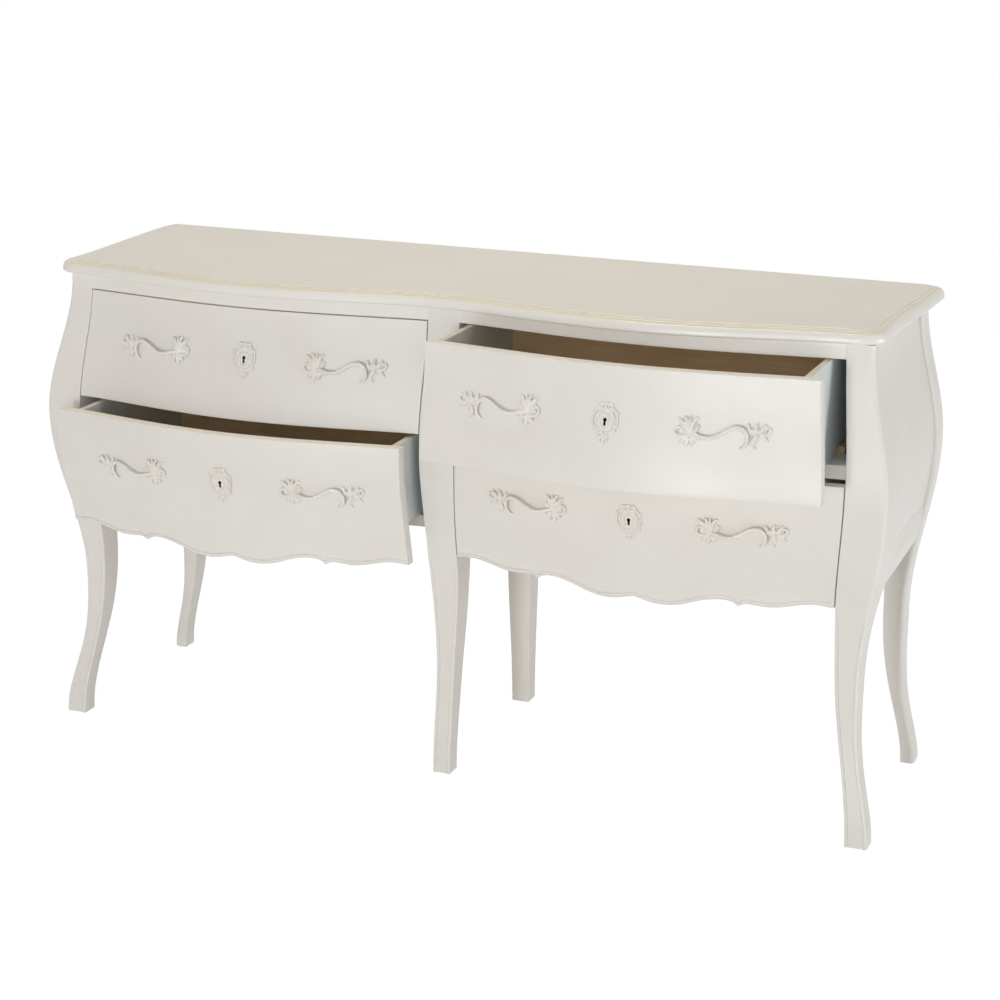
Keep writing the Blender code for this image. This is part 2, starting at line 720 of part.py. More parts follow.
def front_rails():
    """Top, divider and bottom rails of both bays."""
    setback = FRONT_THICKNESS + LIP_GAP
    front_rail("top_rail", TOP_RAIL_BOTTOM_Z, CASE_TOP_Z, 0.0)
    front_rail("divider_rail", DIVIDER_BOTTOM_Z, DIVIDER_TOP_Z, setback)
    front_rail("bottom_rail", BOTTOM_RAIL_BOTTOM_Z, BOTTOM_RAIL_TOP_Z, setback)


def inner_back_y():
    """Front face of the back panel."""
    return REAR_FRONT_Y - JOINT_GAP - BACK_PANEL_THICKNESS


def case_inside():
    """The back panel and the partition between the bays."""
    face = inner_back_y()
    low = (-BACK_PANEL_HALF, face, CASE_BOTTOM_Z)
    high = (BACK_PANEL_HALF, REAR_FRONT_Y - JOINT_GAP, CASE_TOP_Z)
    node("back_panel", block(low, high), "wood")
    half = PARTITION_THICKNESS / 2.0
    low = (-half, POST_BACK_Y + JOINT_GAP, CASE_BOTTOM_Z)
    high = (half, face - JOINT_GAP, CASE_TOP_Z)
    node("centre_partition", block(low, high), "wood")


def runner_frame(name, top, sign):
    """Two runners with guide lips and a cross rail at the back, as one frame."""
    low_x = PARTITION_THICKNESS / 2.0 + JOINT_GAP
    front = RAIL_BACK_Y + JOINT_GAP
    back = inner_back_y() - JOINT_GAP
    bottom = top - RUNNER_THICKNESS
    lip = top + GUIDE_HEIGHT
    inner_lip = BOX_INNER_X - LIP_GAP
    outer_lip = BOX_OUTER_X + LIP_GAP
    cross = back - CROSS_RAIL_DEPTH
    inner_end = low_x + RUNNER_WIDTH
    outer_start = RUNNER_OUTER_X - RUNNER_WIDTH
    blocks = [
        block((low_x, front, bottom), (RUNNER_OUTER_X, back, top)),
        block((inner_lip - GUIDE_WIDTH, front, bottom), (inner_lip, back, lip)),
        block((outer_lip, front, bottom), (outer_lip + GUIDE_WIDTH, back, lip)),
    ]
    window = block((inner_end, front - GUIDE_WIDTH, bottom - GUIDE_WIDTH), (outer_start, cross, lip))
    base, *others = [mesh_object(part, name + "_block") for part in blocks]
    joined = mesh_object(combined(base, others, "UNION"), name + "_joined")
    bm = combined(joined, [mesh_object(window, name + "_window")], "DIFFERENCE")
    bmesh.ops.dissolve_limit(bm, angle_limit=math.radians(0.5), verts=bm.verts, edges=bm.edges)
    bmesh.ops.triangulate(bm, faces=bm.faces)
    for vert in bm.verts:
        vert.co.x *= sign
    node(name, bm, "wood")


def runner_frames():
    """One frame under each drawer."""
    for level, top in (("upper", DIVIDER_TOP_Z), ("lower", BOTTOM_RAIL_TOP_Z)):
        for side, sign in (("left", -1), ("right", 1)):
            runner_frame(f"runner_frame_{level}_{side}", top, sign)


def apron_z(across):
    """Lower edge of a lower drawer front."""
    share = abs(abs(across) - BAY_CENTRE_X) / APRON_REACH
    for first, second in zip(APRON_SHARES, APRON_SHARES[1:]):
        if share <= second[0]:
            turn = (share - first[0]) / (second[0] - first[0])
            depth = first[1] + (second[1] - first[1]) * turn
            return APRON_END_Z - APRON_DEPTH * depth
    return APRON_END_Z - APRON_DEPTH * APRON_SHARES[-1][1]


def front_span(height):
    """Where a drawer front starts and ends across its bay."""
    return middle_half(height) + FRONT_GAP, opening_x(height) - FRONT_GAP


def apron_columns():
    """Column shares that land on every turn of the apron."""
    start, end = front_span(APRON_END_Z)
    turns = {BAY_CENTRE_X + APRON_REACH * share for share, depth in APRON_SHARES[:-1]}
    turns |= {BAY_CENTRE_X - APRON_REACH * share for share, depth in APRON_SHARES[:-1]}
    shares = [(across - start) / (end - start) for across in sorted(turns)]
    return [0.0, *[share for share in shares if 0.005 < share < 0.995], 1.0]


def keyhole(key_x, key_z):
    """A cutter in the shape of the keyhole, laid out for a right-hand bay."""
    outline = []
    for turn in steps(math.radians(-55.0), math.radians(235.0), 8):
        outline.append((KEY_HEAD_RADIUS * math.cos(turn), KEY_HEAD_RADIUS * math.sin(turn)))
    outline.append((-KEY_SLOT_HALF, -KEY_SLOT_LENGTH))
    outline.append((KEY_SLOT_HALF, -KEY_SLOT_LENGTH))

    def place(point, along):
        return Vector((key_x + point[0], along, key_z + point[1]))

    levels = (FRONT_BELLY_Y - 2.0 * BOW_BELLY, POST_BACK_Y)
    return mesh_object(tower(outline, levels, place), "keyhole")


def drawer_front(name, level, key_place, sign, parent):
    """The curved front of a drawer, with its keyhole."""
    if level == "upper":
        bottom, top = UPPER_FRONT_BOTTOM_Z, TOP_RAIL_BOTTOM_Z - LIP_GAP
        columns = steps(0.0, 1.0, 18)
    else:
        bottom, top = APRON_END_Z, LOWER_FRONT_TOP_Z
        columns = apron_columns()
    rows = steps(0.0, 1.0, 7)
    start, end = front_span(bottom)

    def place(share, rise, inside):
        low = bottom
        if level == "lower":
            low = apron_z(start + (end - start) * share)
        height = low + (top - low) * rise
        first, last = front_span(height)
        across = first + (last - first) * share
        return Vector((across, front_y(across, height) + FRONT_THICKNESS * inside, height))

    base = mesh_object(sheet(columns, rows, place), name + "_blank")
    bm = combined(base, [keyhole(*key_place)], "DIFFERENCE")
    for vert in bm.verts:
        vert.co.x *= sign
    node(name, bm, "body", parent)


def drawer_box(name, bottom, top, sign, parent):
    """Sides, back and bottom of a drawer."""
    rows = steps(bottom, top, 6)
    inner_end = BOX_INNER_X + BOX_SIDE_THICKNESS
    outer_start = BOX_OUTER_X - BOX_SIDE_THICKNESS

    def side_place(start):
        def place(share, height, inside):
            across = start + BOX_SIDE_THICKNESS * share
            along = front_y(across, height) + FRONT_THICKNESS + JOINT_GAP
            return Vector((across, BOX_BACK_Y if inside else along, height))
        return mirrored(place, sign)

    near, far = ("right", "left") if sign < 0 else ("left", "right")
    node(f"{name}_side_{near}", sheet((0.0, 1.0), rows, side_place(BOX_INNER_X)), "side", parent)
    node(f"{name}_side_{far}", sheet((0.0, 1.0), rows, side_place(outer_start)), "side", parent)

    raised = bottom + BOX_BOTTOM_RAISE
    board_top = raised + BOX_BOTTOM_THICKNESS
    columns = steps(inner_end + JOINT_GAP, outer_start - JOINT_GAP, 14)

    def board_place(across, height, inside):
        along = front_y(across, height) + FRONT_THICKNESS + JOINT_GAP
        return Vector((across, BOX_BACK_Y if inside else along, height))

    rows = (raised, board_top)
    node(f"{name}_bottom", sheet(columns, rows, mirrored(board_place, sign)), "wood", parent)
    first, last = sorted((columns[0] * sign, columns[-1] * sign))
    low = (first, BOX_BACK_Y - BOX_BACK_THICKNESS, board_top + JOINT_GAP)
    high = (last, BOX_BACK_Y, top - BOX_BACK_DROP)
    node(f"{name}_back", block(low, high), "wood", parent)


def lock_body(name, key_place, sign, parent):
    """The lock behind the keyhole, shaped to the back of the front."""
    key_x, key_z = key_place
    columns = steps(key_x - LOCK_HALF_WIDTH, key_x + LOCK_HALF_WIDTH, 3)
    rows = steps(key_z - LOCK_HALF_HEIGHT - KEY_HEAD_RADIUS, key_z + LOCK_HALF_HEIGHT, 3)

    def place(across, height, inside):
        along = front_y(across, height) + FRONT_THICKNESS + FITTING_GAP
        return Vector((across, along + LOCK_DEPTH * inside, height))

    node(name, sheet(columns, rows, mirrored(place, sign)), "metal", parent)


def on_front(bm, centre_x, centre_z, sign):
    """Bend a flat fitting (x along, z up, y out) onto the front."""
    for vert in bm.verts:
        across = centre_x + vert.co.x
        height = centre_z + vert.co.z
        vert.co = Vector((across * sign, front_y(across, height) - vert.co.y, height))
    return bm


def escutcheon(name, key_place, sign, parent):
    """A scrolled plate with a raised rim round the keyhole."""
    right = [(across, rise) for across, rise in PLATE_SHARES]
    left = [(-across, rise) for across, rise in reversed(right) if across > 0.0]
    levels = (
        (0.4, JOINT_GAP),
        (1.0, JOINT_GAP),
        (1.0, PLATE_HEIGHT / 3.0),
        (0.86, PLATE_HEIGHT * 0.8),
        (0.58, PLATE_HEIGHT * 0.55),
        (0.44, PLATE_HEIGHT),
    )

    def place(point, level):
        scale, out = level
        reach = PLATE_ABOVE_KEY if point[1] > 0.0 else PLATE_BELOW_KEY
        across = point[0] * PLATE_HALF_WIDTH * scale
        return Vector((across, out, point[1] * reach * scale - KEY_HEAD_RADIUS * (1.0 - scale)))

    bm = on_front(tower(right + left, levels, place), *key_place, 1)
    plate = mesh_object(bm, name + "_blank")
    bm = combined(plate, [keyhole(*key_place)], "DIFFERENCE")
    for vert in bm.verts:
        vert.co.x *= sign
    node(name, bm, "body", parent)


def leaf(shares, name):
    """One flattened leaf of a pull, in the flat layout of the fitting."""
    along, rise, length, width, out, turn = shares
    bm = bmesh.new()
    bmesh.ops.create_uvsphere(bm, u_segments=6, v_segments=4, radius=1.0)
    scale = Matrix.Diagonal((width, out, length, 1.0))
    spin = Matrix.Rotation(math.pi / 2.0 - turn, 4, "Y")
    bmesh.ops.transform(bm, matrix=spin @ scale, verts=bm.verts)
    bmesh.ops.translate(bm, vec=(along, 0.0, rise), verts=bm.verts)
    bmesh.ops.scale(bm, vec=(PULL_HALF_LENGTH,) * 3, verts=bm.verts)
    return mesh_object(bm, name)


def pull_bar(name):
    """The S-shaped bar: a curve with a round bevel."""
    data = bpy.data.curves.new(name, "CURVE")
    data.dimensions = "3D"
    data.bevel_depth = BAR_RADIUS
    data.bevel_resolution = 1
    data.use_fill_caps = True
    line = data.splines.new("POLY")
    line.points.add(len(BAR_SHARES) - 1)
    for point, (along, rise, out) in zip(line.points, BAR_SHARES):
        scaled = Vector((along, out, rise)) * PULL_HALF_LENGTH
        point.co = (*scaled, 1.0)
    source = bpy.data.objects.new(name, data)
    CUTTERS.objects.link(source)
    graph = bpy.context.evaluated_depsgraph_get()
    mesh = bpy.data.meshes.new_from_object(source.evaluated_get(graph), depsgraph=graph)
    bm = bmesh.new()
    bm.from_mesh(mesh)
    bmesh.ops.remove_doubles(bm, verts=bm.verts, dist=BAR_RADIUS / 100.0)
    bpy.data.objects.remove(source, do_unlink=True)
    return mesh_object(bm, name)


def pull(name, hand, place, sign, parent):
    """A fixed pull: bar and leaves in one casting, flat underneath and bent to the front."""
    leaves = [leaf(shares, f"{name}_leaf") for shares in LEAF_SHARES]
    bm = combined(pull_bar(f"{name}_bar"), leaves, "UNION")
    geometry = [*bm.verts, *bm.edges, *bm.faces]
    cut = bmesh.ops.bisect_plane(
        bm, geom=geometry, plane_co=(0.0, FITTING_GAP, 0.0), plane_no=(0.0, -1.0, 0.0), clear_outer=True
    )
    edges = [item for item in cut["geom_cut"] if isinstance(item, bmesh.types.BMEdge)]
    bmesh.ops.holes_fill(bm, edges=edges)
    bmesh.ops.triangulate(bm, faces=bm.faces)
    slope = LEFT_PULL_SLOPE if hand == "left" else 0.0
    turned = sign if hand == "right" else -sign
    for vert in bm.verts:
        vert.co.z += slope * (PULL_HALF_LENGTH - vert.co.x)
        vert.co.x *= turned
    node(name, on_front(bm, *place, sign), "body", parent, smooth=True)


def drawer(bay, level, sign, pulled):
    """One drawer with its fittings, hung from an empty that holds how far it is pulled out."""
    name = f"drawer_{level}_{bay}"
    upper = level == "upper"
    carrier = bpy.data.objects.new(f"{name}_slide", None)
    PARTS.objects.link(carrier)
    rail = DIVIDER_TOP_Z if upper else BOTTOM_RAIL_TOP_Z
    key_z = rail + (UPPER_KEY_RISE if upper else LOWER_KEY_RISE)
    pull_z = rail + (UPPER_PULL_RISE if upper else LOWER_PULL_RISE)
    floor = rail + JOINT_GAP
    top = TOP_RAIL_BOTTOM_Z - FRONT_GAP if upper else LOWER_FRONT_TOP_Z
    key_place = (FITTINGS_X[bay], key_z)
    drawer_front(f"{name}_front", level, key_place, sign, carrier)
    drawer_box(name, floor, top, sign, carrier)
    lock_body(f"lock_{level}_{bay}", key_place, sign, carrier)
    escutcheon(f"escutcheon_{level}_{bay}", key_place, sign, carrier)
    for hand, offset in (("left", -PULL_OFFSET), ("right", PULL_OFFSET)):
        place = (FITTINGS_X[bay] + offset * sign, pull_z)
        pull(f"pull_{level}_{bay}_{hand}", hand, place, sign, carrier)
    carrier.location.y = -pulled
    return carrier


def drawers():
    """The four drawers as found: two closed, two pulled out."""
    return [
        drawer("left", "upper", -1, 0.0),
        drawer("right", "upper", 1, UPPER_RIGHT_PULLED),
        drawer("left", "lower", -1, LOWER_LEFT_PULLED),
        drawer("right", "lower", 1, 0.0),
    ]


def place_on_origin():
    """Hang everything from one empty and put the middle of the outer box on the origin."""
    bpy.context.view_layer.update()
    solids = [obj for obj in PARTS.objects if obj.type == "MESH"]
    corners = [obj.matrix_world @ vert.co for obj in solids for vert in obj.data.vertices]
    along = [corner.y for corner in corners]
    base = bpy.data.objects.new("double_chest_of_drawers_base", None)
    PARTS.objects.link(base)
    for obj in list(PARTS.objects):
        if obj.parent is None and obj is not base:
            obj.parent = base
    base.location.y = -(min(along) + max(along)) / 2.0


def main():
    """Build the chest."""
    white = (0.80, 0.78, 0.74)
    MATERIALS["top"] = ((0.72, 0.68, 0.60), 0.45)
    MATERIALS["body"] = (white, 0.45)
    MATERIALS["side"] = ((0.76, 0.76, 0.74), 0.6)
    MATERIALS["wood"] = ((0.30, 0.21, 0.13), 0.7)
    MATERIALS["metal"] = ((0.35, 0.33, 0.30), 0.4)
    clear_scene()
    top_board()
    front_posts()
    rear_posts()
    side_panels()
    side_rails()
    front_rails()
    case_inside()
    runner_frames()
    drawers()
    place_on_origin()


main()
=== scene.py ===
"""Looks of the double chest of drawers: finer shapes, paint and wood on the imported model.

The shapes are laid out as in the model's source, with the rear edge of the top board at
TOP_BACK_Y, and moved to their place in the model by one shift. Lengths are in metres.
"""

import math

import bmesh
import bpy
import numpy as np
from mathutils import Matrix, Vector

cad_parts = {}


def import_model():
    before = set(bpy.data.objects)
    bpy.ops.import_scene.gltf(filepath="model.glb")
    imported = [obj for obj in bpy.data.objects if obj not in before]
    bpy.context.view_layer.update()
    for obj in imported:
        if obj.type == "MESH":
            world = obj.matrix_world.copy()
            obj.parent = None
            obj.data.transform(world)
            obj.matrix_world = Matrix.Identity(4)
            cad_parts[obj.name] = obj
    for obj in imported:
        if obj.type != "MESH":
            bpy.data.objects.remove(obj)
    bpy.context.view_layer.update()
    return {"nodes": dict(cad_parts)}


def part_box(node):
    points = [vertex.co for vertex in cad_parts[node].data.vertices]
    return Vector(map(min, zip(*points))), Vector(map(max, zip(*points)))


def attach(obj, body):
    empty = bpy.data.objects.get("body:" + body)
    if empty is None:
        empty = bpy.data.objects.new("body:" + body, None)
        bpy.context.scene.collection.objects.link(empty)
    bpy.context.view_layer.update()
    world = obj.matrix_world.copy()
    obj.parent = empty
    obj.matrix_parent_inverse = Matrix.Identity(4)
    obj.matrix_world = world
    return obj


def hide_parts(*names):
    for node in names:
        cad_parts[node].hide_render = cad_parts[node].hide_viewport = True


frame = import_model()

# Camera
CAMERA_PLACE = (1.4329, -3.3275, 1.5327)
CAMERA_YAW = 0.4019
CAMERA_PITCH = 0.2997
CAMERA_LENS_MM = 81.636
CAMERA_SENSOR_MM = 36.0
CAMERA_CLIP = (0.1, 200.0)

# Overall sizes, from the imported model
TOP_BACK_Y = 0.203
SHIFT_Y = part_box("top_board")[1].y - TOP_BACK_Y
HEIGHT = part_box("top_board")[1].z
TOP_LOW_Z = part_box("top_board")[0].z
CASE_TOP_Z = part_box("leg_front_left")[1].z
INSIDE = 0.00005
JOINT_GAP = 0.0003
FRONT_GAP = 0.0017
LIP_GAP = 0.001
TOP_GAP = 0.0018
FRONT_ARRIS = 0.0007

# Levels of the case
TOP_RAIL_BOTTOM_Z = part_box("top_rail_right")[0].z
DIVIDER_BOTTOM_Z, DIVIDER_TOP_Z = (end.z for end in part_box("divider_rail_right"))
RAIL_BOTTOM_Z, RAIL_TOP_Z = (end.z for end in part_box("bottom_rail_right"))
UPPER_FRONT_BOTTOM_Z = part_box("drawer_upper_left_front")[0].z
LOWER_FRONT_TOP_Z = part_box("drawer_lower_left_front")[1].z
APRON_DROP = 0.039
APRON_END_Z = RAIL_BOTTOM_Z - APRON_DROP

# Lines of the case as (drop from its top, value) stations, each with its foot on the floor and
# the power that moves its last turn. First the front, seen from the side
FRONT_BELLY_Y = -0.214
FRONT_LINE = ((0.0, -0.180), (0.239, FRONT_BELLY_Y), (0.514, -0.1825))
CORNER_FOOT_Y = -0.2145
MIDDLE_FOOT_Y = -0.2045
FRONT_FOOT_POWER = 1.4

# Outer faces of the front and rear posts, seen from the front
SIDE_LINE = ((0.0, 0.6825), (0.239, 0.7215), (0.529, 0.683))
SIDE_FOOT_X = 0.7165
SIDE_FOOT_POWER = 1.5
REAR_LINE = ((0.0, 0.6825), (0.219, 0.7175), (0.514, 0.679))
REAR_FOOT_X = 0.7075
REAR_FOOT_POWER = 2.0

# Serpentine of the front in each bay
BOW_START_X = 0.030
BOW_END_X = 0.650
BOW_MOST = 0.037
BOW_LINE = ((0.0, 0.031), (0.229, BOW_MOST), (0.419, 0.030))
BOW_POWER_SHARE = 1.25

# Inner edge of the corner posts and half width of the middle post
OPENING_LINE = ((0.0, 0.6413), (0.219, 0.6570), (0.439, 0.6445))
CORNER_FOOT_INNER_X = 0.681
INNER_FOOT_POWER = 1.4
MIDDLE_ANKLE_DROP = CASE_TOP_Z - 0.150
MIDDLE_LINE = ((0.0, 0.0265), (0.219, 0.0300), (0.394, 0.0255), (MIDDLE_ANKLE_DROP, 0.0152))
MIDDLE_FOOT_HALF = 0.0150

# Front posts: depth, beads along the face of the leg, roundings
POST_BACK_Y = -0.138
POST_BACK_Z = 0.300
FOOT_DEPTH = 0.031
FOOT_BACK_POWER = 1.2
BEAD_WIDTH = 0.0058
FIELD_RECESS = 0.0019
FIELD_TOP_DROP = 0.407
FIELD_FADE = 0.030
ARRIS = 0.0011
ARRIS_TURN = 0.3
CORNER_ROUND = 0.0068
FOOT_ROUND = 0.0015
FOOT_ROUND_TOP_Z = 0.006
POST_HEIGHTS = 110
FACE_STOPS = (
    0.0, 0.0001, 0.0004, 0.0009, 0.0016, 0.0024, 0.0032, 0.0040, 0.0047, 0.0052, 0.0056,
    0.0060, 0.0066, 0.0075,
)

# Rear posts
REAR_FRONT_Y = 0.128
REAR_BACK_Y = 0.168
REAR_FOOT_FRONT_Y = 0.136
REAR_FOOT_BACK_Y = 0.1665
REAR_STRAIGHT_Z = 0.300
REAR_INNER_X = 0.6445
REAR_FOOT_INNER_X = 0.6845
REAR_INNER_POWER = 1.5
REAR_MIDDLE_HALF = 0.0215
REAR_MIDDLE_FOOT_HALF = 0.0158
REAR_ROUND = 0.0065

# Top board
TOP_MIDDLE_X = -0.0065
TOP_EAR_HALF = 0.704
TOP_REAR_HALF = 0.712
TOP_FRONT_Y = -0.204
TOP_EAR_Y = -0.192
TOP_BOW = 0.036
TOP_WAIST = 0.003
TOP_WAIST_POWER = 0.45
TOP_FRONT_CORNER = 0.045
TOP_REAR_CORNER = 0.032
TOP_EDGE_ROUND = 0.0075
TOP_EDGE_TURN_SHARE = 0.92
TOP_UNDER_ROUND = 0.0030
TOP_UNDERCUT_RISE = 0.0012
TOP_UNDERCUT_REACH = 0.0100
TOP_SHOULDER_WIDTH = 0.0050
TOP_FILLET_WIDTH = 0.0065
TOP_STEP = 0.0019
TOP_STEP_SPREAD = 1.2
TOP_FIELD_START = 3.0 * TOP_STEP

# Side panels and rails
PANEL_ROWS = 44
PANEL_COLUMNS = 48
PANEL_THICKNESS = 0.012
PANEL_RECESS_REAR = 0.006
PANEL_HOLLOW = 0.008
SIDE_RAIL_TOP_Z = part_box("side_panel_right")[0].z - JOINT_GAP
SIDE_RAIL_SLOPE_HEIGHT = 0.028
SIDE_RAIL_FACE_HEIGHT = 0.0295
SIDE_RAIL_BREAK_Z = SIDE_RAIL_TOP_Z - SIDE_RAIL_SLOPE_HEIGHT
SIDE_RAIL_BOTTOM_Z = SIDE_RAIL_BREAK_Z - SIDE_RAIL_FACE_HEIGHT
SIDE_RAIL_BREAK_STEPS = (0.0006, 0.002)
SIDE_RAIL_PROUD = 0.0015
SIDE_RAIL_LOW_ROUND = ARRIS * 1.6
BRACKET_REACH = 0.033
BRACKET_DROP = 0.044
RAIL_BACK_Y = -0.132
RAIL_COLUMNS = 70

# Drawers and their fronts
FRONT_THICKNESS = 0.0185
FRONT_COLUMNS = {"upper": 80, "lower": 150}
FRONT_ROWS = 22
APRON_DEPTH = 0.023
APRON_REACH = 0.305
APRON_BEAD_PLACE = 0.0045
APRON_BEAD_HALF = 0.0022
APRON_BEAD_HEIGHT = 0.0012
APRON_GROOVE_PLACE = 0.0074
APRON_GROOVE_HALF = 0.0012
APRON_GROOVE_DEPTH = 0.0006
APRON_BEAD_END = 0.004
APRON_LIP = 0.0024
APRON_FIRST_ROW_SHARE = 0.06
APRON_DRIP_SHARE = 0.54
APRON_DRIP_REACH = 0.09
APRON_BLUR = 0.045
APRON_BLUR_STEPS = np.linspace(-1.0, 1.0, 9)
APRON_SHARES = (
    (0.0, 0.58), (0.045, 0.80), (0.10, 0.98), (0.18, 1.0), (0.26, 0.80), (0.34, 0.36),
    (0.42, 0.12), (0.47, 0.10), (0.508, 0.20), (0.54, 0.53), (0.556, 0.36), (0.585, 0.24),
    (0.62, 0.33), (0.68, 0.42), (0.74, 0.36), (0.82, 0.08), (0.90, -0.13), (0.95, -0.10),
    (1.0, 0.02),
)

# Fittings: middle line in each bay, heights over the rail below, keyhole
FITTINGS_X = {"left": 0.3305, "right": 0.3355}
PULL_OFFSET = 0.173
PULL_REACH = 0.0705
LEFT_PULL_SLOPE = 0.045
PULL_RISE = {"upper": 0.075, "lower": 0.054}
KEY_RISE = {"upper": 0.079, "lower": 0.057}
OPENING_LOW_Z = {"upper": DIVIDER_TOP_Z, "lower": RAIL_TOP_Z}
PULL_Z = {level: low + PULL_RISE[level] for level, low in OPENING_LOW_Z.items()}
KEY_Z = {level: low + KEY_RISE[level] for level, low in OPENING_LOW_Z.items()}
KEY_HEAD_RADIUS = 0.0029
KEY_HEAD_ARC = (math.radians(-58.0), math.radians(238.0))
KEY_SLOT_HALF = 0.0017
KEY_SLOT_LENGTH = 0.0085
KEY_SLOT_FLARE = 1.1
KEY_MARK_RADIUS = 0.011
KEY_MARK_TILT = 0.01
VOXEL = 0.00050
FITTING_FACES = 12000
PULL_BASE = 0.0004
PLATE_BASE = 0.0003
SAME_POINT = 1e-6
MM = 0.001

# Widths of softened edges, and the angles in degrees up to which faces shade smoothly
SOFT_EDGE = 0.0007
SOFT_EDGE_ANGLE = 40.0
TOP_SMOOTH = 28.0
FACE_SMOOTH = 32.0
POST_SMOOTH = 40.0
FITTING_SMOOTH = 60.0

# Room: a floor and world that read white, and lamps as (place, size, watts, colour)
FLOOR_HALF = 60.0
FLOOR_GREY = (235, 235, 235)
FLOOR_ROUGHNESS = 0.9
FLOOR_WHITE = 1.16
FLOOR_SEEN_GLOW = 0.82
FLOOR_GLOW = 0.12
SKY_TINT = (1.0, 0.94, 0.87)
SKY_LEVELS = ((0.0, 0.39), (0.3, 0.37), (0.7, 0.27), (1.0, 0.20))
LAMP_TARGET = (0.0, 0.0, 0.45)
LAMPS = {
    "key": ((0.38, -5.4, 0.85), 0.6, 74.0, (0.98, 0.99, 1.0)),
    "broad": ((1.3, -5.6, 1.2), 3.2, 71.0, (0.98, 0.99, 1.0)),
    "right": ((4.4, 0.2, 0.62), 0.8, 48.0, (0.97, 0.99, 1.0)),
    "left": ((-2.6, -3.2, 0.9), 1.0, 3.0, (1.0, 0.70, 0.40)),
    "above": ((0.0, 0.1, 3.0), 1.2, 22.0, (1.0, 0.99, 0.96)),
}

SIDES = (("left", -1.0), ("right", 1.0))

SCENE = bpy.context.scene
PIECES = bpy.data.collections.new("chest_pieces")
HELPERS = bpy.data.collections.new("helpers")
SCENE.collection.children.link(PIECES)
SCENE.collection.children.link(HELPERS)


# Shapes shared by the pieces

def held(share):
    """A share held between 0 and 1."""
    return np.clip(share, 0.0, 1.0)


def ease(share, power=1.0):
    """Half a cosine wave from 0 to 1, with the turn moved by the power."""
    return (1.0 - np.cos(np.pi * held(share) ** power)) / 2.0


def hump(distance, half):
    """A rounded hump: 1 in its middle and 0 from its half width on."""
    return held(1.0 - (distance / half) ** 2)


def through(height, stations, last_power=1.0):
    """A smooth line through (height, value) stations listed from the top down.

    The power moves the turn of the last stretch.
    """
    height = np.asarray(height, dtype=float)
    value = np.full(height.shape, stations[0][1])
    for upper, lower in zip(stations, stations[1:]):
        power = last_power if lower is stations[-1] else 1.0
        share = (upper[0] - height) / (upper[0] - lower[0])
        value = value + (lower[1] - upper[1]) * ease(share, power)
    return value


def rounding(distance, radius):
    """How far a rounded edge falls back at a distance from the edge."""
    rest = np.clip(radius - np.asarray(distance, dtype=float), 0.0, radius)
    return radius - np.sqrt(radius * radius - rest * rest)


def case_line(height, stations, foot=None, power=1.0):
    """A line of the case given by its drops, down to the floor where it has a foot."""
    levels = [(CASE_TOP_Z - drop, value) for drop, value in stations]
    if foot is not None:
        levels.append((0.0, foot))
    return through(height, levels, power)


def post_line(height, foot_y):
    """Front line of a post, seen from the side."""
    return case_line(height, FRONT_LINE, foot_y, FRONT_FOOT_POWER)


def bow_shape(across):
    """Share of the bow at a distance from the middle of the chest."""
    share = (np.abs(across) - BOW_START_X) / (BOW_END_X - BOW_START_X)
    return np.sin(np.pi * held(share)) ** BOW_POWER_SHARE


def front_y(across, height):
    """Face of the drawer fronts, the rails and the posts."""
    return post_line(height, CORNER_FOOT_Y) - case_line(height, BOW_LINE) * bow_shape(across)


def side_x(height):
    """Outer face of the front corner posts."""
    return case_line(height, SIDE_LINE, SIDE_FOOT_X, SIDE_FOOT_POWER) - INSIDE


def rear_x(height):
    """Outer face of the rear corner posts."""
    return case_line(height, REAR_LINE, REAR_FOOT_X, REAR_FOOT_POWER) - INSIDE


def opening_x(height):
    """Inner edge of the corner posts."""
    return case_line(height, OPENING_LINE, CORNER_FOOT_INNER_X, INNER_FOOT_POWER)


def middle_half(height):
    """Half width of the front middle post."""
    return case_line(height, MIDDLE_LINE, MIDDLE_FOOT_HALF)


def bay_span(height, gap, columns):
    """Both ends of a bay and the places between them, for a ladder of columns."""
    start = middle_half(height) + gap
    end = opening_x(height) - gap
    return start, end, start + (end - start) * columns[:, 0] + columns[:, 1]


def post_back(height, foot_y):
    """Back face of a front post."""
    stations = ((POST_BACK_Z, POST_BACK_Y), (0.0, foot_y + FOOT_DEPTH))
    return through(height, stations, FOOT_BACK_POWER)


def outer_x(along, height):
    """Plain outer face of the case between a front post and a rear post."""
    share = (along - POST_BACK_Y) / (REAR_FRONT_Y - POST_BACK_Y)
    return side_x(height) + (rear_x(height) - side_x(height)) * share


def panel_x(along, height):
    """Outer face of a side panel: flush at the front post, then hollow."""
    share = held((along - POST_BACK_Y) / (REAR_FRONT_Y - POST_BACK_Y))
    recess = PANEL_RECESS_REAR * share + PANEL_HOLLOW * np.sin(np.pi * share)
    return outer_x(along, height) - recess


def apron_z(across, centre):
    """Lower edge of a lower drawer front: smooth runs on both sides of pointed drips."""
    share = np.abs(across - centre) / APRON_REACH
    places, depths = np.array(APRON_SHARES).T
    blur = APRON_BLUR * held(np.abs(share - APRON_DRIP_SHARE) / APRON_DRIP_REACH)
    depth = np.zeros(len(share))
    for step in APRON_BLUR_STEPS:
        depth += np.interp(share + step * blur, places, depths) / len(APRON_BLUR_STEPS)
    return APRON_END_Z - APRON_DEPTH * depth


# Mesh building

def solid(name, points, faces, merge=False):
    """A closed mesh with its faces turned outward and, if asked, its doubled points merged."""
    mesh = bpy.data.meshes.new(name)
    mesh.from_pydata(points.tolist(), [], faces)
    bm = bmesh.new()
    bm.from_mesh(mesh)
    if merge:
        bmesh.ops.remove_doubles(bm, verts=bm.verts, dist=SAME_POINT)
    bmesh.ops.recalc_face_normals(bm, faces=bm.faces)
    bm.to_mesh(mesh)
    bm.free()
    return mesh


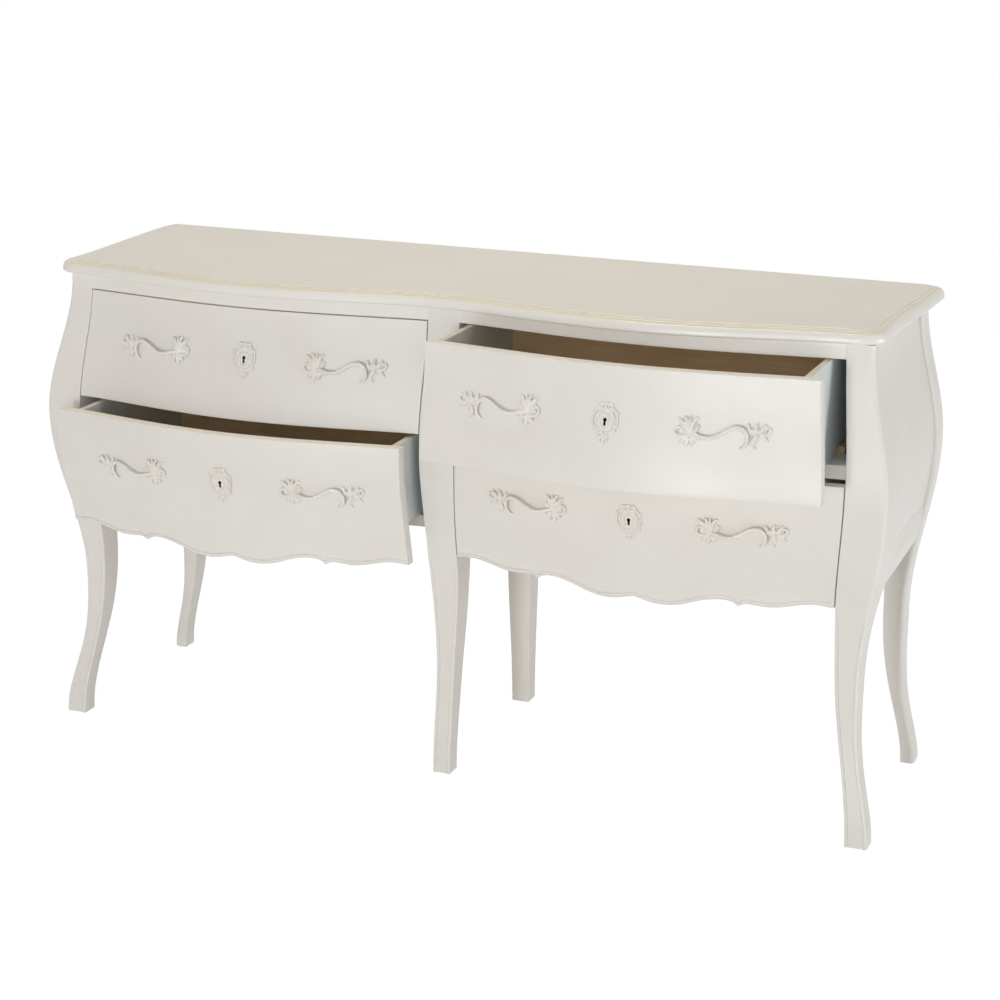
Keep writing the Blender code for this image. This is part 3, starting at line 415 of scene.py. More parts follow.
def make(node, points, faces, material, slot, angle=FACE_SMOOTH, mirror=1.0):
    """A case piece for a node, from points in the layout, moved to its place in the model."""
    points[:, 0] *= mirror
    points[:, 1] += SHIFT_Y
    finish(node, solid(node, points, faces, True), material, "case", angle)


def finish(node, mesh, material, body, angle):
    """Shade a mesh smooth up to an angle, dress it, and let it ride for its node."""
    mesh.polygons.foreach_set("use_smooth", [True] * len(mesh.polygons))
    mesh.set_sharp_from_angle(angle=math.radians(angle))
    mesh.materials.clear()
    mesh.materials.append(material)
    obj = new_object(f"{node}_painted", mesh, PIECES)
    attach(obj, body)
    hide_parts(node)


def new_object(name, data, collection=HELPERS):
    """An object of some data, among the helpers or in another collection."""
    obj = bpy.data.objects.new(name, data)
    collection.objects.link(obj)
    return obj


def settings(item, **values):
    """Set several properties of an item at once."""
    for key, value in values.items():
        setattr(item, key, value)
    return item


def evaluated(obj):
    """The mesh of an object after its modifiers. The object itself is removed."""
    graph = bpy.context.evaluated_depsgraph_get()
    mesh = bpy.data.meshes.new_from_object(obj.evaluated_get(graph), depsgraph=graph)
    bpy.data.objects.remove(obj, do_unlink=True)
    return mesh


def vectors_of(items, name):
    """One vector of each vertex or face as an array."""
    values = np.empty(len(items) * 3)
    items.foreach_get(name, values)
    return values.reshape(-1, 3)


def shell(front, back):
    """Points and faces of a closed block between two grids of rows and columns."""
    rows, columns = front.shape[:2]
    points = np.concatenate([front.reshape(-1, 3), back.reshape(-1, 3)])
    offset = rows * columns

    def at(row, column, side):
        return side * offset + row * columns + column

    faces = []
    for row in range(rows - 1):
        for column in range(columns - 1):
            corners = ((row, column), (row, column + 1), (row + 1, column + 1), (row + 1, column))
            faces.append([at(r, c, 0) for r, c in corners])
            faces.append([at(r, c, 1) for r, c in reversed(corners)])
    border = [(0, c) for c in range(columns)]
    border += [(r, columns - 1) for r in range(1, rows)]
    border += [(rows - 1, c) for c in range(columns - 2, -1, -1)]
    border += [(r, 0) for r in range(rows - 2, 0, -1)]
    for first, second in zip(border, border[1:] + border[:1]):
        faces.append([at(*second, 0), at(*first, 0), at(*first, 1), at(*second, 1)])
    return points, faces


def loft(rings):
    """Points and faces of a closed body through rings of equal length."""
    count = len(rings[0])
    points = np.concatenate(rings)
    faces = [list(range(count))]
    for level in range(len(rings) - 1):
        low, high = level * count, (level + 1) * count
        for index in range(count):
            after = (index + 1) % count
            faces.append([low + index, low + after, high + after, high + index])
    top = (len(rings) - 1) * count
    faces.append([top + index for index in reversed(range(count))])
    return points, faces


def ladder(first_steps, last_steps, count):
    """(share, offset) pairs: small steps from both ends and even shares between them."""
    pairs = [(0.0, step) for step in first_steps]
    pairs += [(share, 0.0) for share in np.linspace(0.0, 1.0, count + 2)[1:-1]]
    pairs += [(1.0, -step) for step in reversed(last_steps)]
    return np.array(pairs)


def edge_steps(radius):
    """Stops across a rounded edge."""
    return [radius * (1.0 - math.cos(turn)) for turn in np.linspace(0.0, math.pi / 2.0, 5)]


# Materials

def srgb(red, green, blue):
    """A colour given on the screen's 0 to 255 scale, as the shader wants it."""
    return tuple(
        value / 12.92 if value <= 0.04045 else ((value + 0.055) / 1.055) ** 2.4
        for value in (red / 255.0, green / 255.0, blue / 255.0)
    )


def fill(tree, node, **values):
    """Set a node's properties and inputs, or link its inputs: base_color is Base Color."""
    for key, value in values.items():
        name = key.replace("_", " ").title()
        if name not in node.inputs:
            setattr(node, key, value)
        elif hasattr(value, "is_output"):
            tree.links.new(value, node.inputs[name])
        else:
            node.inputs[name].default_value = value
    return node


def add(tree, kind, **values):
    """A new shader node, filled."""
    return fill(tree, tree.nodes.new(kind), **values)


def noise(tree, place, scale, detail=3.0, stretch=None):
    """A noise texture in metres: scale is bumps per metre, stretch a scale along each axis."""
    if stretch:
        place = add(tree, "ShaderNodeMapping", vector=place, scale=stretch).outputs["Vector"]
    texture = add(tree, "ShaderNodeTexNoise", vector=place, scale=scale, detail=detail)
    return texture.outputs["Fac"]


def ramp(tree, source, stops):
    """A colour ramp over (position, colour) stops."""
    node = tree.nodes.new("ShaderNodeValToRGB")
    elements = node.color_ramp.elements
    while len(elements) < len(stops):
        elements.new(0.5)
    for element, (position, colour) in zip(elements, stops):
        element.position = position
        element.color = (*colour, 1.0)
    return fill(tree, node, fac=source).outputs["Color"]


def mixed(tree, share, first, second, mode="MIX"):
    """Two colours mixed by a share."""
    node = add(tree, "ShaderNodeMix", data_type="RGBA", blend_type=mode)
    for index, value in ((0, share), (6, first), (7, second)):
        socket = node.inputs[index]
        if hasattr(value, "is_output"):
            tree.links.new(value, socket)
        elif isinstance(value, float):
            socket.default_value = value
        else:
            socket.default_value = (*value, 1.0)
    return node.outputs[2]


def bumped(tree, shader, source, strength, distance):
    """Fine relief on a shader's normal."""
    bump = add(tree, "ShaderNodeBump", strength=strength, distance=distance, height=source)
    fill(tree, shader, normal=bump.outputs["Normal"])


def new_material(name):
    """An empty node material: its tree, shader and object coordinates in metres."""
    material = bpy.data.materials.new(name)
    material.use_nodes = True
    tree = material.node_tree
    shader = tree.nodes["Principled BSDF"]
    place = tree.nodes.new("ShaderNodeTexCoord").outputs["Object"]
    return material, tree, shader, place


def height_of(tree, vector):
    """The Z part of a vector output."""
    return add(tree, "ShaderNodeSeparateXYZ", vector=vector).outputs["Z"]


def upward_share(tree, low, high):
    """How far a face looks up, from 0 at the low share of straight up to 1 at the high one."""
    normal = tree.nodes.new("ShaderNodeNewGeometry").outputs["Normal"]
    return ramp(tree, height_of(tree, normal), ((low, (0.0, 0.0, 0.0)), (high, (1.0, 1.0, 1.0))))


def paint(
    name, colour, worn, roughness,
    hollow_shade=0.10, stroke=(2.0, 2.0, 14.0), rim=None, coat=0.06, top_edge=None,
):
    """Satin paint: slow drifts of tone and faint brush marks, with painted shade in corners and
    a painted highlight on sharp edges.

    The rim is a second colour below a height. The top edge is a colour for faces that look up.
    Faces marked on the keyhole walls take a near-black colour: painted shade of the deep hole.
    """
    material, tree, shader, place = new_material(name)
    drift = noise(tree, place, scale=9.0, detail=4.0)
    brush = noise(tree, place, scale=55.0, detail=3.0, stretch=stroke)
    base = ramp(tree, drift, ((0.30, worn), (0.70, colour)))
    darker = tuple(value * 0.955 for value in colour)
    strokes = ramp(tree, brush, ((0.35, darker), (0.65, colour)))
    tone = mixed(tree, 0.35, base, strokes)
    if rim:
        rim_colour, rim_low, rim_high = rim
        share = add(tree, "ShaderNodeMapRange", from_min=rim_low, from_max=rim_high)
        fill(tree, share, value=height_of(tree, place))
        tone = mixed(tree, share.outputs["Result"], rim_colour, tone)
    if top_edge:
        tone = mixed(tree, upward_share(tree, 0.80, 0.93), tone, top_edge)
    # Painted shade in hollows and corners, and a painted highlight on sharp edges, from the
    # pointiness
    sharpness = tree.nodes.new("ShaderNodeNewGeometry").outputs["Pointiness"]
    shade = tuple(value * (1.0 - hollow_shade) for value in (1.0, 0.985, 0.96))
    edges = ramp(tree, sharpness, ((0.44, shade), (0.50, (0.97,) * 3), (0.56, (1.0,) * 3)))
    tone = mixed(tree, 1.0, tone, edges, "MULTIPLY")
    # Keyhole walls take a near-black colour: painted shade of the deep hole
    keyhole_shade = add(tree, "ShaderNodeAttribute", attribute_name="keyhole_shade").outputs["Fac"]
    gloss = ramp(tree, brush, ((0.3, (roughness - 0.05,) * 3), (0.7, (roughness + 0.06,) * 3)))
    fill(tree, shader, base_color=mixed(tree, keyhole_shade, tone, KEYHOLE_SHADE_COLOUR), roughness=gloss)
    fill(tree, shader, coat_weight=coat, coat_roughness=0.25)
    bumped(tree, shader, brush, strength=0.10, distance=0.0003)
    return material


def wood(name, dark, light, along=1):
    """Plain stained wood with its grain along one axis."""
    material, tree, shader, place = new_material(name)
    stretch = [18.0, 18.0, 18.0]
    stretch[along] = 1.0
    grain = noise(tree, place, scale=12.0, detail=8.0, stretch=stretch)
    patch = noise(tree, place, scale=6.0, detail=2.0)
    tone = ramp(tree, grain, ((0.30, dark), (0.68, light)))
    shade = ramp(tree, patch, ((0.3, (0.86, 0.84, 0.82)), (0.7, (1.0,) * 3)))
    fill(tree, shader, base_color=mixed(tree, 1.0, tone, shade, "MULTIPLY"), roughness=0.62)
    bumped(tree, shader, grain, strength=0.25, distance=0.0004)
    return material


def drawer_side_paint():
    """Cool white paint on the drawer sides, with the upper edges left beige."""
    material, tree, shader, place = new_material("drawer_side_paint")
    drift = noise(tree, place, scale=14.0, detail=4.0)
    brush = noise(tree, place, scale=60.0, detail=3.0, stretch=(1.0, 1.0, 16.0))
    cool = ramp(tree, drift, ((0.3, srgb(208, 217, 219)), (0.7, srgb(219, 227, 229))))
    upward = upward_share(tree, 0.55, 0.85)
    edge = ramp(tree, brush, ((0.3, srgb(214, 200, 180)), (0.7, srgb(228, 215, 196))))
    fill(tree, shader, base_color=mixed(tree, upward, cool, edge), roughness=0.55)
    bumped(tree, shader, brush, strength=0.12, distance=0.0003)
    return material


def lock_metal():
    """Dull steel for the lock bodies."""
    material, tree, shader, place = new_material("lock_metal")
    brush = noise(tree, place, scale=80.0, detail=4.0, stretch=(1.0, 1.0, 20.0))
    tone = ramp(tree, brush, ((0.3, srgb(30, 28, 26)), (0.7, srgb(44, 41, 38))))
    fill(tree, shader, base_color=tone, metallic=1.0, roughness=0.42)
    bumped(tree, shader, brush, strength=0.15, distance=0.0002)
    return material


# Near-black colour of the keyhole walls, darker than the bare wood: painted shade of the deep
# hole
KEYHOLE_SHADE_COLOUR = srgb(34, 27, 22)
WHITE = srgb(228, 226, 222)
WHITE_WORN = srgb(223, 220, 214)
PAINT = paint("white_paint", WHITE, WHITE_WORN, roughness=0.42)
FRONT_PAINT = paint(
    "front_paint", WHITE, WHITE_WORN, roughness=0.42, top_edge=srgb(240, 231, 214)
)
TOP_RIM = (WHITE, HEIGHT - 0.0068, HEIGHT - 0.0056)
TOP_PAINT = paint(
    "top_paint", srgb(231, 224, 207), srgb(227, 219, 201), roughness=0.36,
    hollow_shade=0.06, stroke=(2.0, 14.0, 2.0), rim=TOP_RIM, coat=0.2,
)
FITTING_PAINT = paint(
    "fitting_paint", srgb(230, 228, 224), srgb(222, 217, 208), roughness=0.28, hollow_shade=0.14
)
DRAWER_SIDE = drawer_side_paint()
# Wood of the case and drawer insides, paler than the wood's own brown: painted light that stands
# in for light inside the case
LIT_CASE_TONES = (srgb(196, 170, 134), srgb(212, 188, 152))
LIT_CASE_WOOD = wood("lit_case_wood", *LIT_CASE_TONES)
LIT_BACK_WOOD = wood("lit_back_wood", *LIT_CASE_TONES, along=0)
LIT_DRAWER_WOOD = wood("lit_drawer_wood", srgb(233, 205, 166), srgb(244, 219, 183), along=0)
LOCK_METAL = lock_metal()


# Case

def top_outline(count=48):
    """Plan of the top board: points and outward directions."""
    ear_x = TOP_EAR_HALF - TOP_FRONT_CORNER
    across = np.linspace(0.0, ear_x, count * 2)
    turn = ease((across - BOW_END_X / 2.0) / (ear_x - BOW_END_X / 2.0))
    along = TOP_FRONT_Y + (TOP_EAR_Y - TOP_FRONT_Y) * turn - TOP_BOW * bow_shape(across)
    right = list(zip(across, along))
    side_start = right[-1][1] + TOP_FRONT_CORNER
    for turn in np.linspace(0.0, math.pi / 2.0, 14)[1:-1]:
        out = TOP_FRONT_CORNER * math.sin(turn)
        right.append((ear_x + out, side_start - TOP_FRONT_CORNER * math.cos(turn)))
    side_end = TOP_BACK_Y - TOP_REAR_CORNER
    for share in np.linspace(0.0, 1.0, count // 2):
        half = TOP_EAR_HALF + (TOP_REAR_HALF - TOP_EAR_HALF) * ease(share)
        half -= TOP_WAIST * math.sin(math.pi * share ** TOP_WAIST_POWER) ** 2
        right.append((half, side_start + (side_end - side_start) * share))
    for turn in np.linspace(0.0, math.pi / 2.0, 12)[1:]:
        inset = TOP_REAR_CORNER * (1.0 - math.cos(turn))
        right.append((TOP_REAR_HALF - inset, side_end + TOP_REAR_CORNER * math.sin(turn)))
    left = [(-across, along) for across, along in reversed(right) if across > 0.0]
    points = np.array(right + left) + (TOP_MIDDLE_X, 0.0)
    tangent = np.roll(points, -1, axis=0) - np.roll(points, 1, axis=0)
    out = np.stack([tangent[:, 1], -tangent[:, 0]], axis=1)
    return points, out / np.linalg.norm(out, axis=1)[:, None]


def top_profile():
    """(height, inset) levels of the slab's edge, from the underside to the field."""
    low = TOP_LOW_Z + TOP_UNDERCUT_RISE
    shoulder = HEIGHT - 2.0 * TOP_STEP
    quarter = math.pi / 2.0
    levels = [(TOP_LOW_Z, TOP_UNDERCUT_REACH)]
    for turn in np.linspace(-quarter, 0.0, 7):
        rise = TOP_UNDER_ROUND * (1.0 + math.sin(turn))
        levels.append((low + rise, TOP_UNDER_ROUND * (1.0 - math.cos(turn))))
    start = low + TOP_UNDER_ROUND
    for turn in np.linspace(0.0, TOP_EDGE_TURN_SHARE * quarter, 13)[1:]:
        rise = (shoulder - start) * math.sin(turn)
        levels.append((start + rise, TOP_EDGE_ROUND * (1.0 - math.cos(turn))))
    first = TOP_EDGE_ROUND + TOP_SHOULDER_WIDTH
    second = first + TOP_FILLET_WIDTH
    for start, base in ((first, shoulder), (second, shoulder + TOP_STEP)):
        levels.append((base, start))
        for turn in np.linspace(0.0, quarter, 5):
            inset = start + TOP_STEP * (TOP_STEP_SPREAD - math.cos(turn))
            levels.append((base + TOP_STEP * math.sin(turn), inset))
    levels.append((HEIGHT, second + TOP_FIELD_START))
    return levels


def top_board():
    """The slab: rounded nose, two fine steps with a fillet between them, and the field."""
    points, out = top_outline()
    rings = []
    for height, inset in top_profile():
        place = points - out * (inset + INSIDE)
        rings.append(np.column_stack([place, np.full(len(place), height - INSIDE)]))
    make("top_board", *loft(rings), TOP_PAINT, "top_paint", TOP_SMOOTH)


def bead_fall(distance, width):
    """Half-round bead at the edge of a face, down to the field beside it."""
    radius = width / 2.0
    fall = radius - np.sqrt(np.clip(radius ** 2 - (distance - radius) ** 2, 0.0, None))
    outer = distance < radius
    return np.where(outer, fall, np.minimum(fall, FIELD_RECESS))


def face_fall(distance, edge_radius, height):
    """Depth of a post's face at a distance from its edge: plain above, beaded on the leg."""
    fade = ease((CASE_TOP_Z - FIELD_TOP_DROP - height) / FIELD_FADE)
    beaded = np.where(distance > BEAD_WIDTH, FIELD_RECESS, bead_fall(distance, BEAD_WIDTH))
    return (1.0 - fade) * rounding(distance, edge_radius) + fade * beaded


def post_heights():
    """Levels of a post, with a rounded foot and a square top."""
    shaft = np.linspace(FOOT_ROUND_TOP_Z, CASE_TOP_Z - INSIDE, POST_HEIGHTS)
    return np.array(edge_steps(FOOT_ROUND) + list(shaft))


def foot_rounded(ring, low, high, front, back, height):
    """A post's ring at a height, drawn in from its outer box where the foot is rounded."""
    ring = np.array(ring)
    shrink = float(rounding(height, FOOT_ROUND))
    middle = np.array([(low + high) / 2.0, (front + back) / 2.0])
    reach = np.array([(high - low) / 2.0, (back - front) / 2.0])
    ring = middle + (ring - middle) * (1.0 - shrink / reach)
    return np.column_stack([ring, np.full(len(ring), height)])


def front_post(name, inner, outer, foot_y, mirror=1.0):
    """A front post with its leg and the beads on its face. The middle one has no inner face."""
    outer_round = CORNER_ROUND
    rings = []
    for height in post_heights():
        high = float(outer(height))
        low = float(inner(height)) if inner else -high
        line = float(post_line(height, foot_y))
        back = float(post_back(height, foot_y))
        ring = []
        inner_round = ARRIS * float(ease((TOP_RAIL_BOTTOM_Z - height) / ARRIS)) + INSIDE
        if not inner:
            outer_round = inner_round
        for stop in FACE_STOPS:
            ring.append((low + stop, line + float(face_fall(stop, inner_round, height))))
        for stop in reversed(FACE_STOPS):
            ring.append((high - stop, line + float(face_fall(stop, outer_round, height))))
        rear = INSIDE if inner and height >= SIDE_RAIL_BOTTOM_Z - BRACKET_DROP else ARRIS
        turned = rear * ARRIS_TURN
        ring += [(high, back - rear), (high - turned, back - turned), (high - rear, back)]
        turned = ARRIS * ARRIS_TURN
        ring += [(low + ARRIS, back), (low + turned, back - turned), (low, back - ARRIS)]
        rings.append(foot_rounded(ring, low, high, line, back, height))
    make(name, *loft(rings), PAINT, "white_paint", POST_SMOOTH, mirror)


def front_posts():
    """Two corner posts and the middle one."""
    for side, mirror in SIDES:
        front_post(f"leg_front_{side}", opening_x, side_x, CORNER_FOOT_Y, mirror)
    front_post("leg_front_middle", None, middle_half, MIDDLE_FOOT_Y)


def rear_line(height, straight, foot, power=1.0):
    """A line of a rear post: straight above, then bent to its place at the floor."""
    return through(height, ((REAR_STRAIGHT_Z, straight), (0.0, foot)), power)


def rear_inner(height):
    """Inner face of a rear corner post."""
    return rear_line(height, REAR_INNER_X, REAR_FOOT_INNER_X, REAR_INNER_POWER)


def rear_half(height):
    """Half width of the rear middle post."""
    return rear_line(height, REAR_MIDDLE_HALF, REAR_MIDDLE_FOOT_HALF)


def rear_post(name, inner, outer, radius, mirror=1.0):
    """A rear post: flat at the back, rounded towards the side, tapered to the foot."""
    corners = ((0, 0, ARRIS), (1, 0, radius), (1, 1, ARRIS), (0, 1, ARRIS))
    rings = []
    for height in post_heights():
        high = float(outer(height))
        low = float(inner(height)) if inner else -high
        front = float(rear_line(height, REAR_FRONT_Y, REAR_FOOT_FRONT_Y))
        back = float(rear_line(height, REAR_BACK_Y, REAR_FOOT_BACK_Y))
        ring = []
        for index, (right, rear, size) in enumerate(corners):
            centre_x = high - size if right else low + size
            centre_y = back - size if rear else front + size
            start = math.pi + index * math.pi / 2.0
            for turn in np.linspace(start, start + math.pi / 2.0, 7):
                ring.append((centre_x + size * math.cos(turn), centre_y + size * math.sin(turn)))
        rings.append(foot_rounded(ring, low, high, front, back, height))
    make(name, *loft(rings), PAINT, "white_paint", POST_SMOOTH, mirror)


def rear_posts():
    """Two rear corner posts and the middle one."""
    for side, mirror in SIDES:
        rear_post(f"leg_rear_{side}", rear_inner, rear_x, REAR_ROUND, mirror)
    rear_post("leg_rear_middle", None, rear_half, ARRIS)


def pair(name, face, behind):
    """A block between two grids and its mirror image, for the nodes of both sides."""
    for side, mirror in SIDES:
        make(f"{name}_{side}", *shell(face, behind), PAINT, "white_paint", mirror=mirror)


def side_panels():
    """A bellied panel on each side, flush with the front post."""
    rows = np.linspace(SIDE_RAIL_TOP_Z + JOINT_GAP, CASE_TOP_Z - INSIDE, PANEL_ROWS)
    columns = np.linspace(POST_BACK_Y + INSIDE, REAR_FRONT_Y - JOINT_GAP, PANEL_COLUMNS)
    along, height = np.meshgrid(columns, rows)
    outside = np.stack([panel_x(along, height), along, height], axis=2)
    inside = outside - np.array([PANEL_THICKNESS, 0.0, 0.0])
    pair("side_panel", outside, inside)


def side_rails():
    """A sloped rail under each panel, with a bracket curve into the front leg."""
    front, back = POST_BACK_Y + INSIDE, REAR_FRONT_Y - JOINT_GAP
    turns = np.linspace(math.pi / 2.0, 0.0, 18)
    columns = list(front + BRACKET_REACH * (1.0 - np.sin(turns)))
    columns += list(np.linspace(columns[-1], back, 30)[1:])
    columns = np.array(columns)
    reach = held((front + BRACKET_REACH - columns) / BRACKET_REACH)
    bottom = SIDE_RAIL_BOTTOM_Z - BRACKET_DROP * (1.0 - np.sqrt(1.0 - reach * reach))
    lower = ladder(edge_steps(SIDE_RAIL_LOW_ROUND), [0.0], 6)
    upper = ladder(SIDE_RAIL_BREAK_STEPS, edge_steps(ARRIS), 5)
    outside = []
    for share, offset in lower:
        outside.append(bottom + (SIDE_RAIL_BREAK_Z - bottom) * share + offset)
    for share, offset in upper:
        height = SIDE_RAIL_BREAK_Z + SIDE_RAIL_SLOPE_HEIGHT * share + offset
        outside.append(np.full(len(columns), height))
    height = np.array(outside)
    along = np.broadcast_to(columns, height.shape)
    edge = outer_x(along, height) - SIDE_RAIL_PROUD * ease((along - front) / BRACKET_REACH)
    slope = held((height - SIDE_RAIL_BREAK_Z) / SIDE_RAIL_SLOPE_HEIGHT)
    across = edge + (panel_x(along, height) - edge) * slope
    across = across - rounding(height - bottom, SIDE_RAIL_LOW_ROUND)
    across = across - rounding(SIDE_RAIL_TOP_Z - height, ARRIS)
    face = np.stack([across, along, height], axis=2)
    inner = panel_x(columns, SIDE_RAIL_BREAK_Z) - PANEL_THICKNESS - PANEL_RECESS_REAR
    behind = np.stack([np.broadcast_to(inner, height.shape), along, height], axis=2)
    pair("side_rail", face, behind)


def front_rail(name, low, high, setback, gap):
    """A rail across each bay: its face follows the front."""
    columns = ladder([0.0], [0.0], RAIL_COLUMNS)
    rows = ladder(edge_steps(ARRIS), edge_steps(ARRIS), 3)
    height = low + (high - low) * rows[:, 0] + rows[:, 1]
    height = np.broadcast_to(height[:, None], (len(rows), len(columns)))
    across = bay_span(height, gap, columns)[2]
    fall = rounding(height - low, ARRIS) + rounding(high - height, ARRIS)
    face = np.stack([across, front_y(across, height) + setback + fall, height], axis=2)
    behind = np.stack([across, np.full(across.shape, RAIL_BACK_Y), height], axis=2)
    pair(name, face, behind)


def front_rails():
    """Top, divider and bottom rails of both bays."""
    setback = FRONT_THICKNESS + LIP_GAP
    front_rail("top_rail", TOP_RAIL_BOTTOM_Z, CASE_TOP_Z - INSIDE, 0.0, INSIDE)
    front_rail("divider_rail", DIVIDER_BOTTOM_Z, DIVIDER_TOP_Z, setback, JOINT_GAP)
    front_rail("bottom_rail", RAIL_BOTTOM_Z, RAIL_TOP_Z, setback, JOINT_GAP)


# Drawers

def keyhole(key_x, key_z):
    """A cutter in the shape of the keyhole, for a right-hand bay: a round head and a slot."""
    outline = []
    for turn in np.linspace(*KEY_HEAD_ARC, 25):
        outline.append((KEY_HEAD_RADIUS * math.cos(turn), KEY_HEAD_RADIUS * math.sin(turn)))
    for turn in np.linspace(math.pi, 2.0 * math.pi, 9):
        drop = KEY_SLOT_LENGTH - KEY_SLOT_HALF * (1.0 - KEY_SLOT_FLARE * math.sin(turn + math.pi))
        outline.append((KEY_SLOT_HALF * KEY_SLOT_FLARE * math.cos(turn), -drop))
    across, height = np.array(outline).T
    rings = []
    for along in (FRONT_BELLY_Y - 2.0 * BOW_MOST + SHIFT_Y, POST_BACK_Y + SHIFT_Y):
        ring = [across + key_x, np.full(len(outline), along), height + key_z]
        rings.append(np.column_stack(ring))
    return new_object("keyhole", solid("keyhole", *loft(rings)))


def cut(mesh, cutter):
    """A mesh less a cutter, which is removed."""
    obj = new_object("blank", mesh)
    modifier = obj.modifiers.new("cut", "BOOLEAN")
    settings(modifier, operation="DIFFERENCE", solver="EXACT", object=cutter)
    result = evaluated(obj)
    bpy.data.objects.remove(cutter, do_unlink=True)
    return result


def mark_keyhole_shade(mesh, key_x, key_z):
    """Mark the walls of a keyhole for a near-black colour, darker than the wood: painted shade of
    the deep hole.
    """
    centres = vectors_of(mesh.polygons, "center")
    normals = vectors_of(mesh.polygons, "normal")
    near = np.hypot(centres[:, 0] - key_x, centres[:, 2] - key_z) < KEY_MARK_RADIUS
    level = np.abs(normals[:, 1]) < KEY_MARK_TILT
    mark = mesh.attributes.new("keyhole_shade", "FLOAT", "FACE")
    mark.data.foreach_set("value", (near & level).astype(np.float32))
    return mesh


def placed(mesh, mirror, forward):
    """Move a mesh of the right-hand bay to its own bay and as far out as its drawer stands."""
    points = vectors_of(mesh.vertices, "co")
    points[:, 0] *= mirror
    points[:, 1] -= forward
    mesh.vertices.foreach_set("co", points.ravel())
    if mirror < 0.0:
        mesh.flip_normals()
    mesh.update()
    return mesh


def front_grid(level, centre):
    """Face and back grids of a drawer front in the right-hand bay, its apron about a centre."""
    lower = level == "lower"
    top = LOWER_FRONT_TOP_Z if lower else TOP_RAIL_BOTTOM_Z - TOP_GAP
    bottom = APRON_END_Z if lower else UPPER_FRONT_BOTTOM_Z
    steps = edge_steps(FRONT_ARRIS)
    columns = ladder(steps, steps, FRONT_COLUMNS[level])
    if lower:
        relief = np.linspace(APRON_LIP, APRON_GROOVE_PLACE + APRON_GROOVE_HALF, 14)
        rows = ladder(edge_steps(APRON_LIP) + list(relief)[1:], steps, FRONT_ROWS)
        rows = rows[(rows[:, 0] == 0.0) | (rows[:, 0] > APRON_FIRST_ROW_SHARE)]
    else:
        rows = ladder(steps, steps, FRONT_ROWS)
    edge_x = bay_span(bottom, FRONT_GAP, columns)[2]
    low = apron_z(edge_x, centre) if lower else np.full(len(columns), bottom)
    height = low + (top - low) * rows[:, :1] + rows[:, 1:]
    start, end, across = bay_span(height, FRONT_GAP, columns)
    fall = rounding(top - height, FRONT_ARRIS)
    fall = np.maximum(fall, rounding(across - start, FRONT_ARRIS))
    fall = np.maximum(fall, rounding(end - across, FRONT_ARRIS))
    if lower:
        above = height - low
        fall = np.maximum(fall, rounding(above, APRON_LIP))
        bead = hump(above - APRON_BEAD_PLACE, APRON_BEAD_HALF)
        groove = hump(above - APRON_GROOVE_PLACE, APRON_GROOVE_HALF)
        inner = held(np.minimum(across - start, end - across) / APRON_BEAD_END)
        fall = fall - inner * (APRON_BEAD_HEIGHT * np.sqrt(bead) - APRON_GROOVE_DEPTH * groove)
    else:
        fall = np.maximum(fall, rounding(height - bottom, FRONT_ARRIS))
    along = front_y(across, height)
    face = np.stack([across, along + fall, height], axis=2)
    behind = np.stack([across, along + FRONT_THICKNESS, height], axis=2)
    return face, behind


def drawer_front(name, level, key_place, mirror, forward, body):
    """The curved front of a drawer, with its keyhole."""
    points, faces = shell(*front_grid(level, key_place[0]))
    points[:, 1] += SHIFT_Y
    mesh = mark_keyhole_shade(cut(solid(name, points, faces), keyhole(*key_place)), *key_place)
    finish(name, placed(mesh, mirror, forward), FRONT_PAINT, body, FACE_SMOOTH)


# Fittings

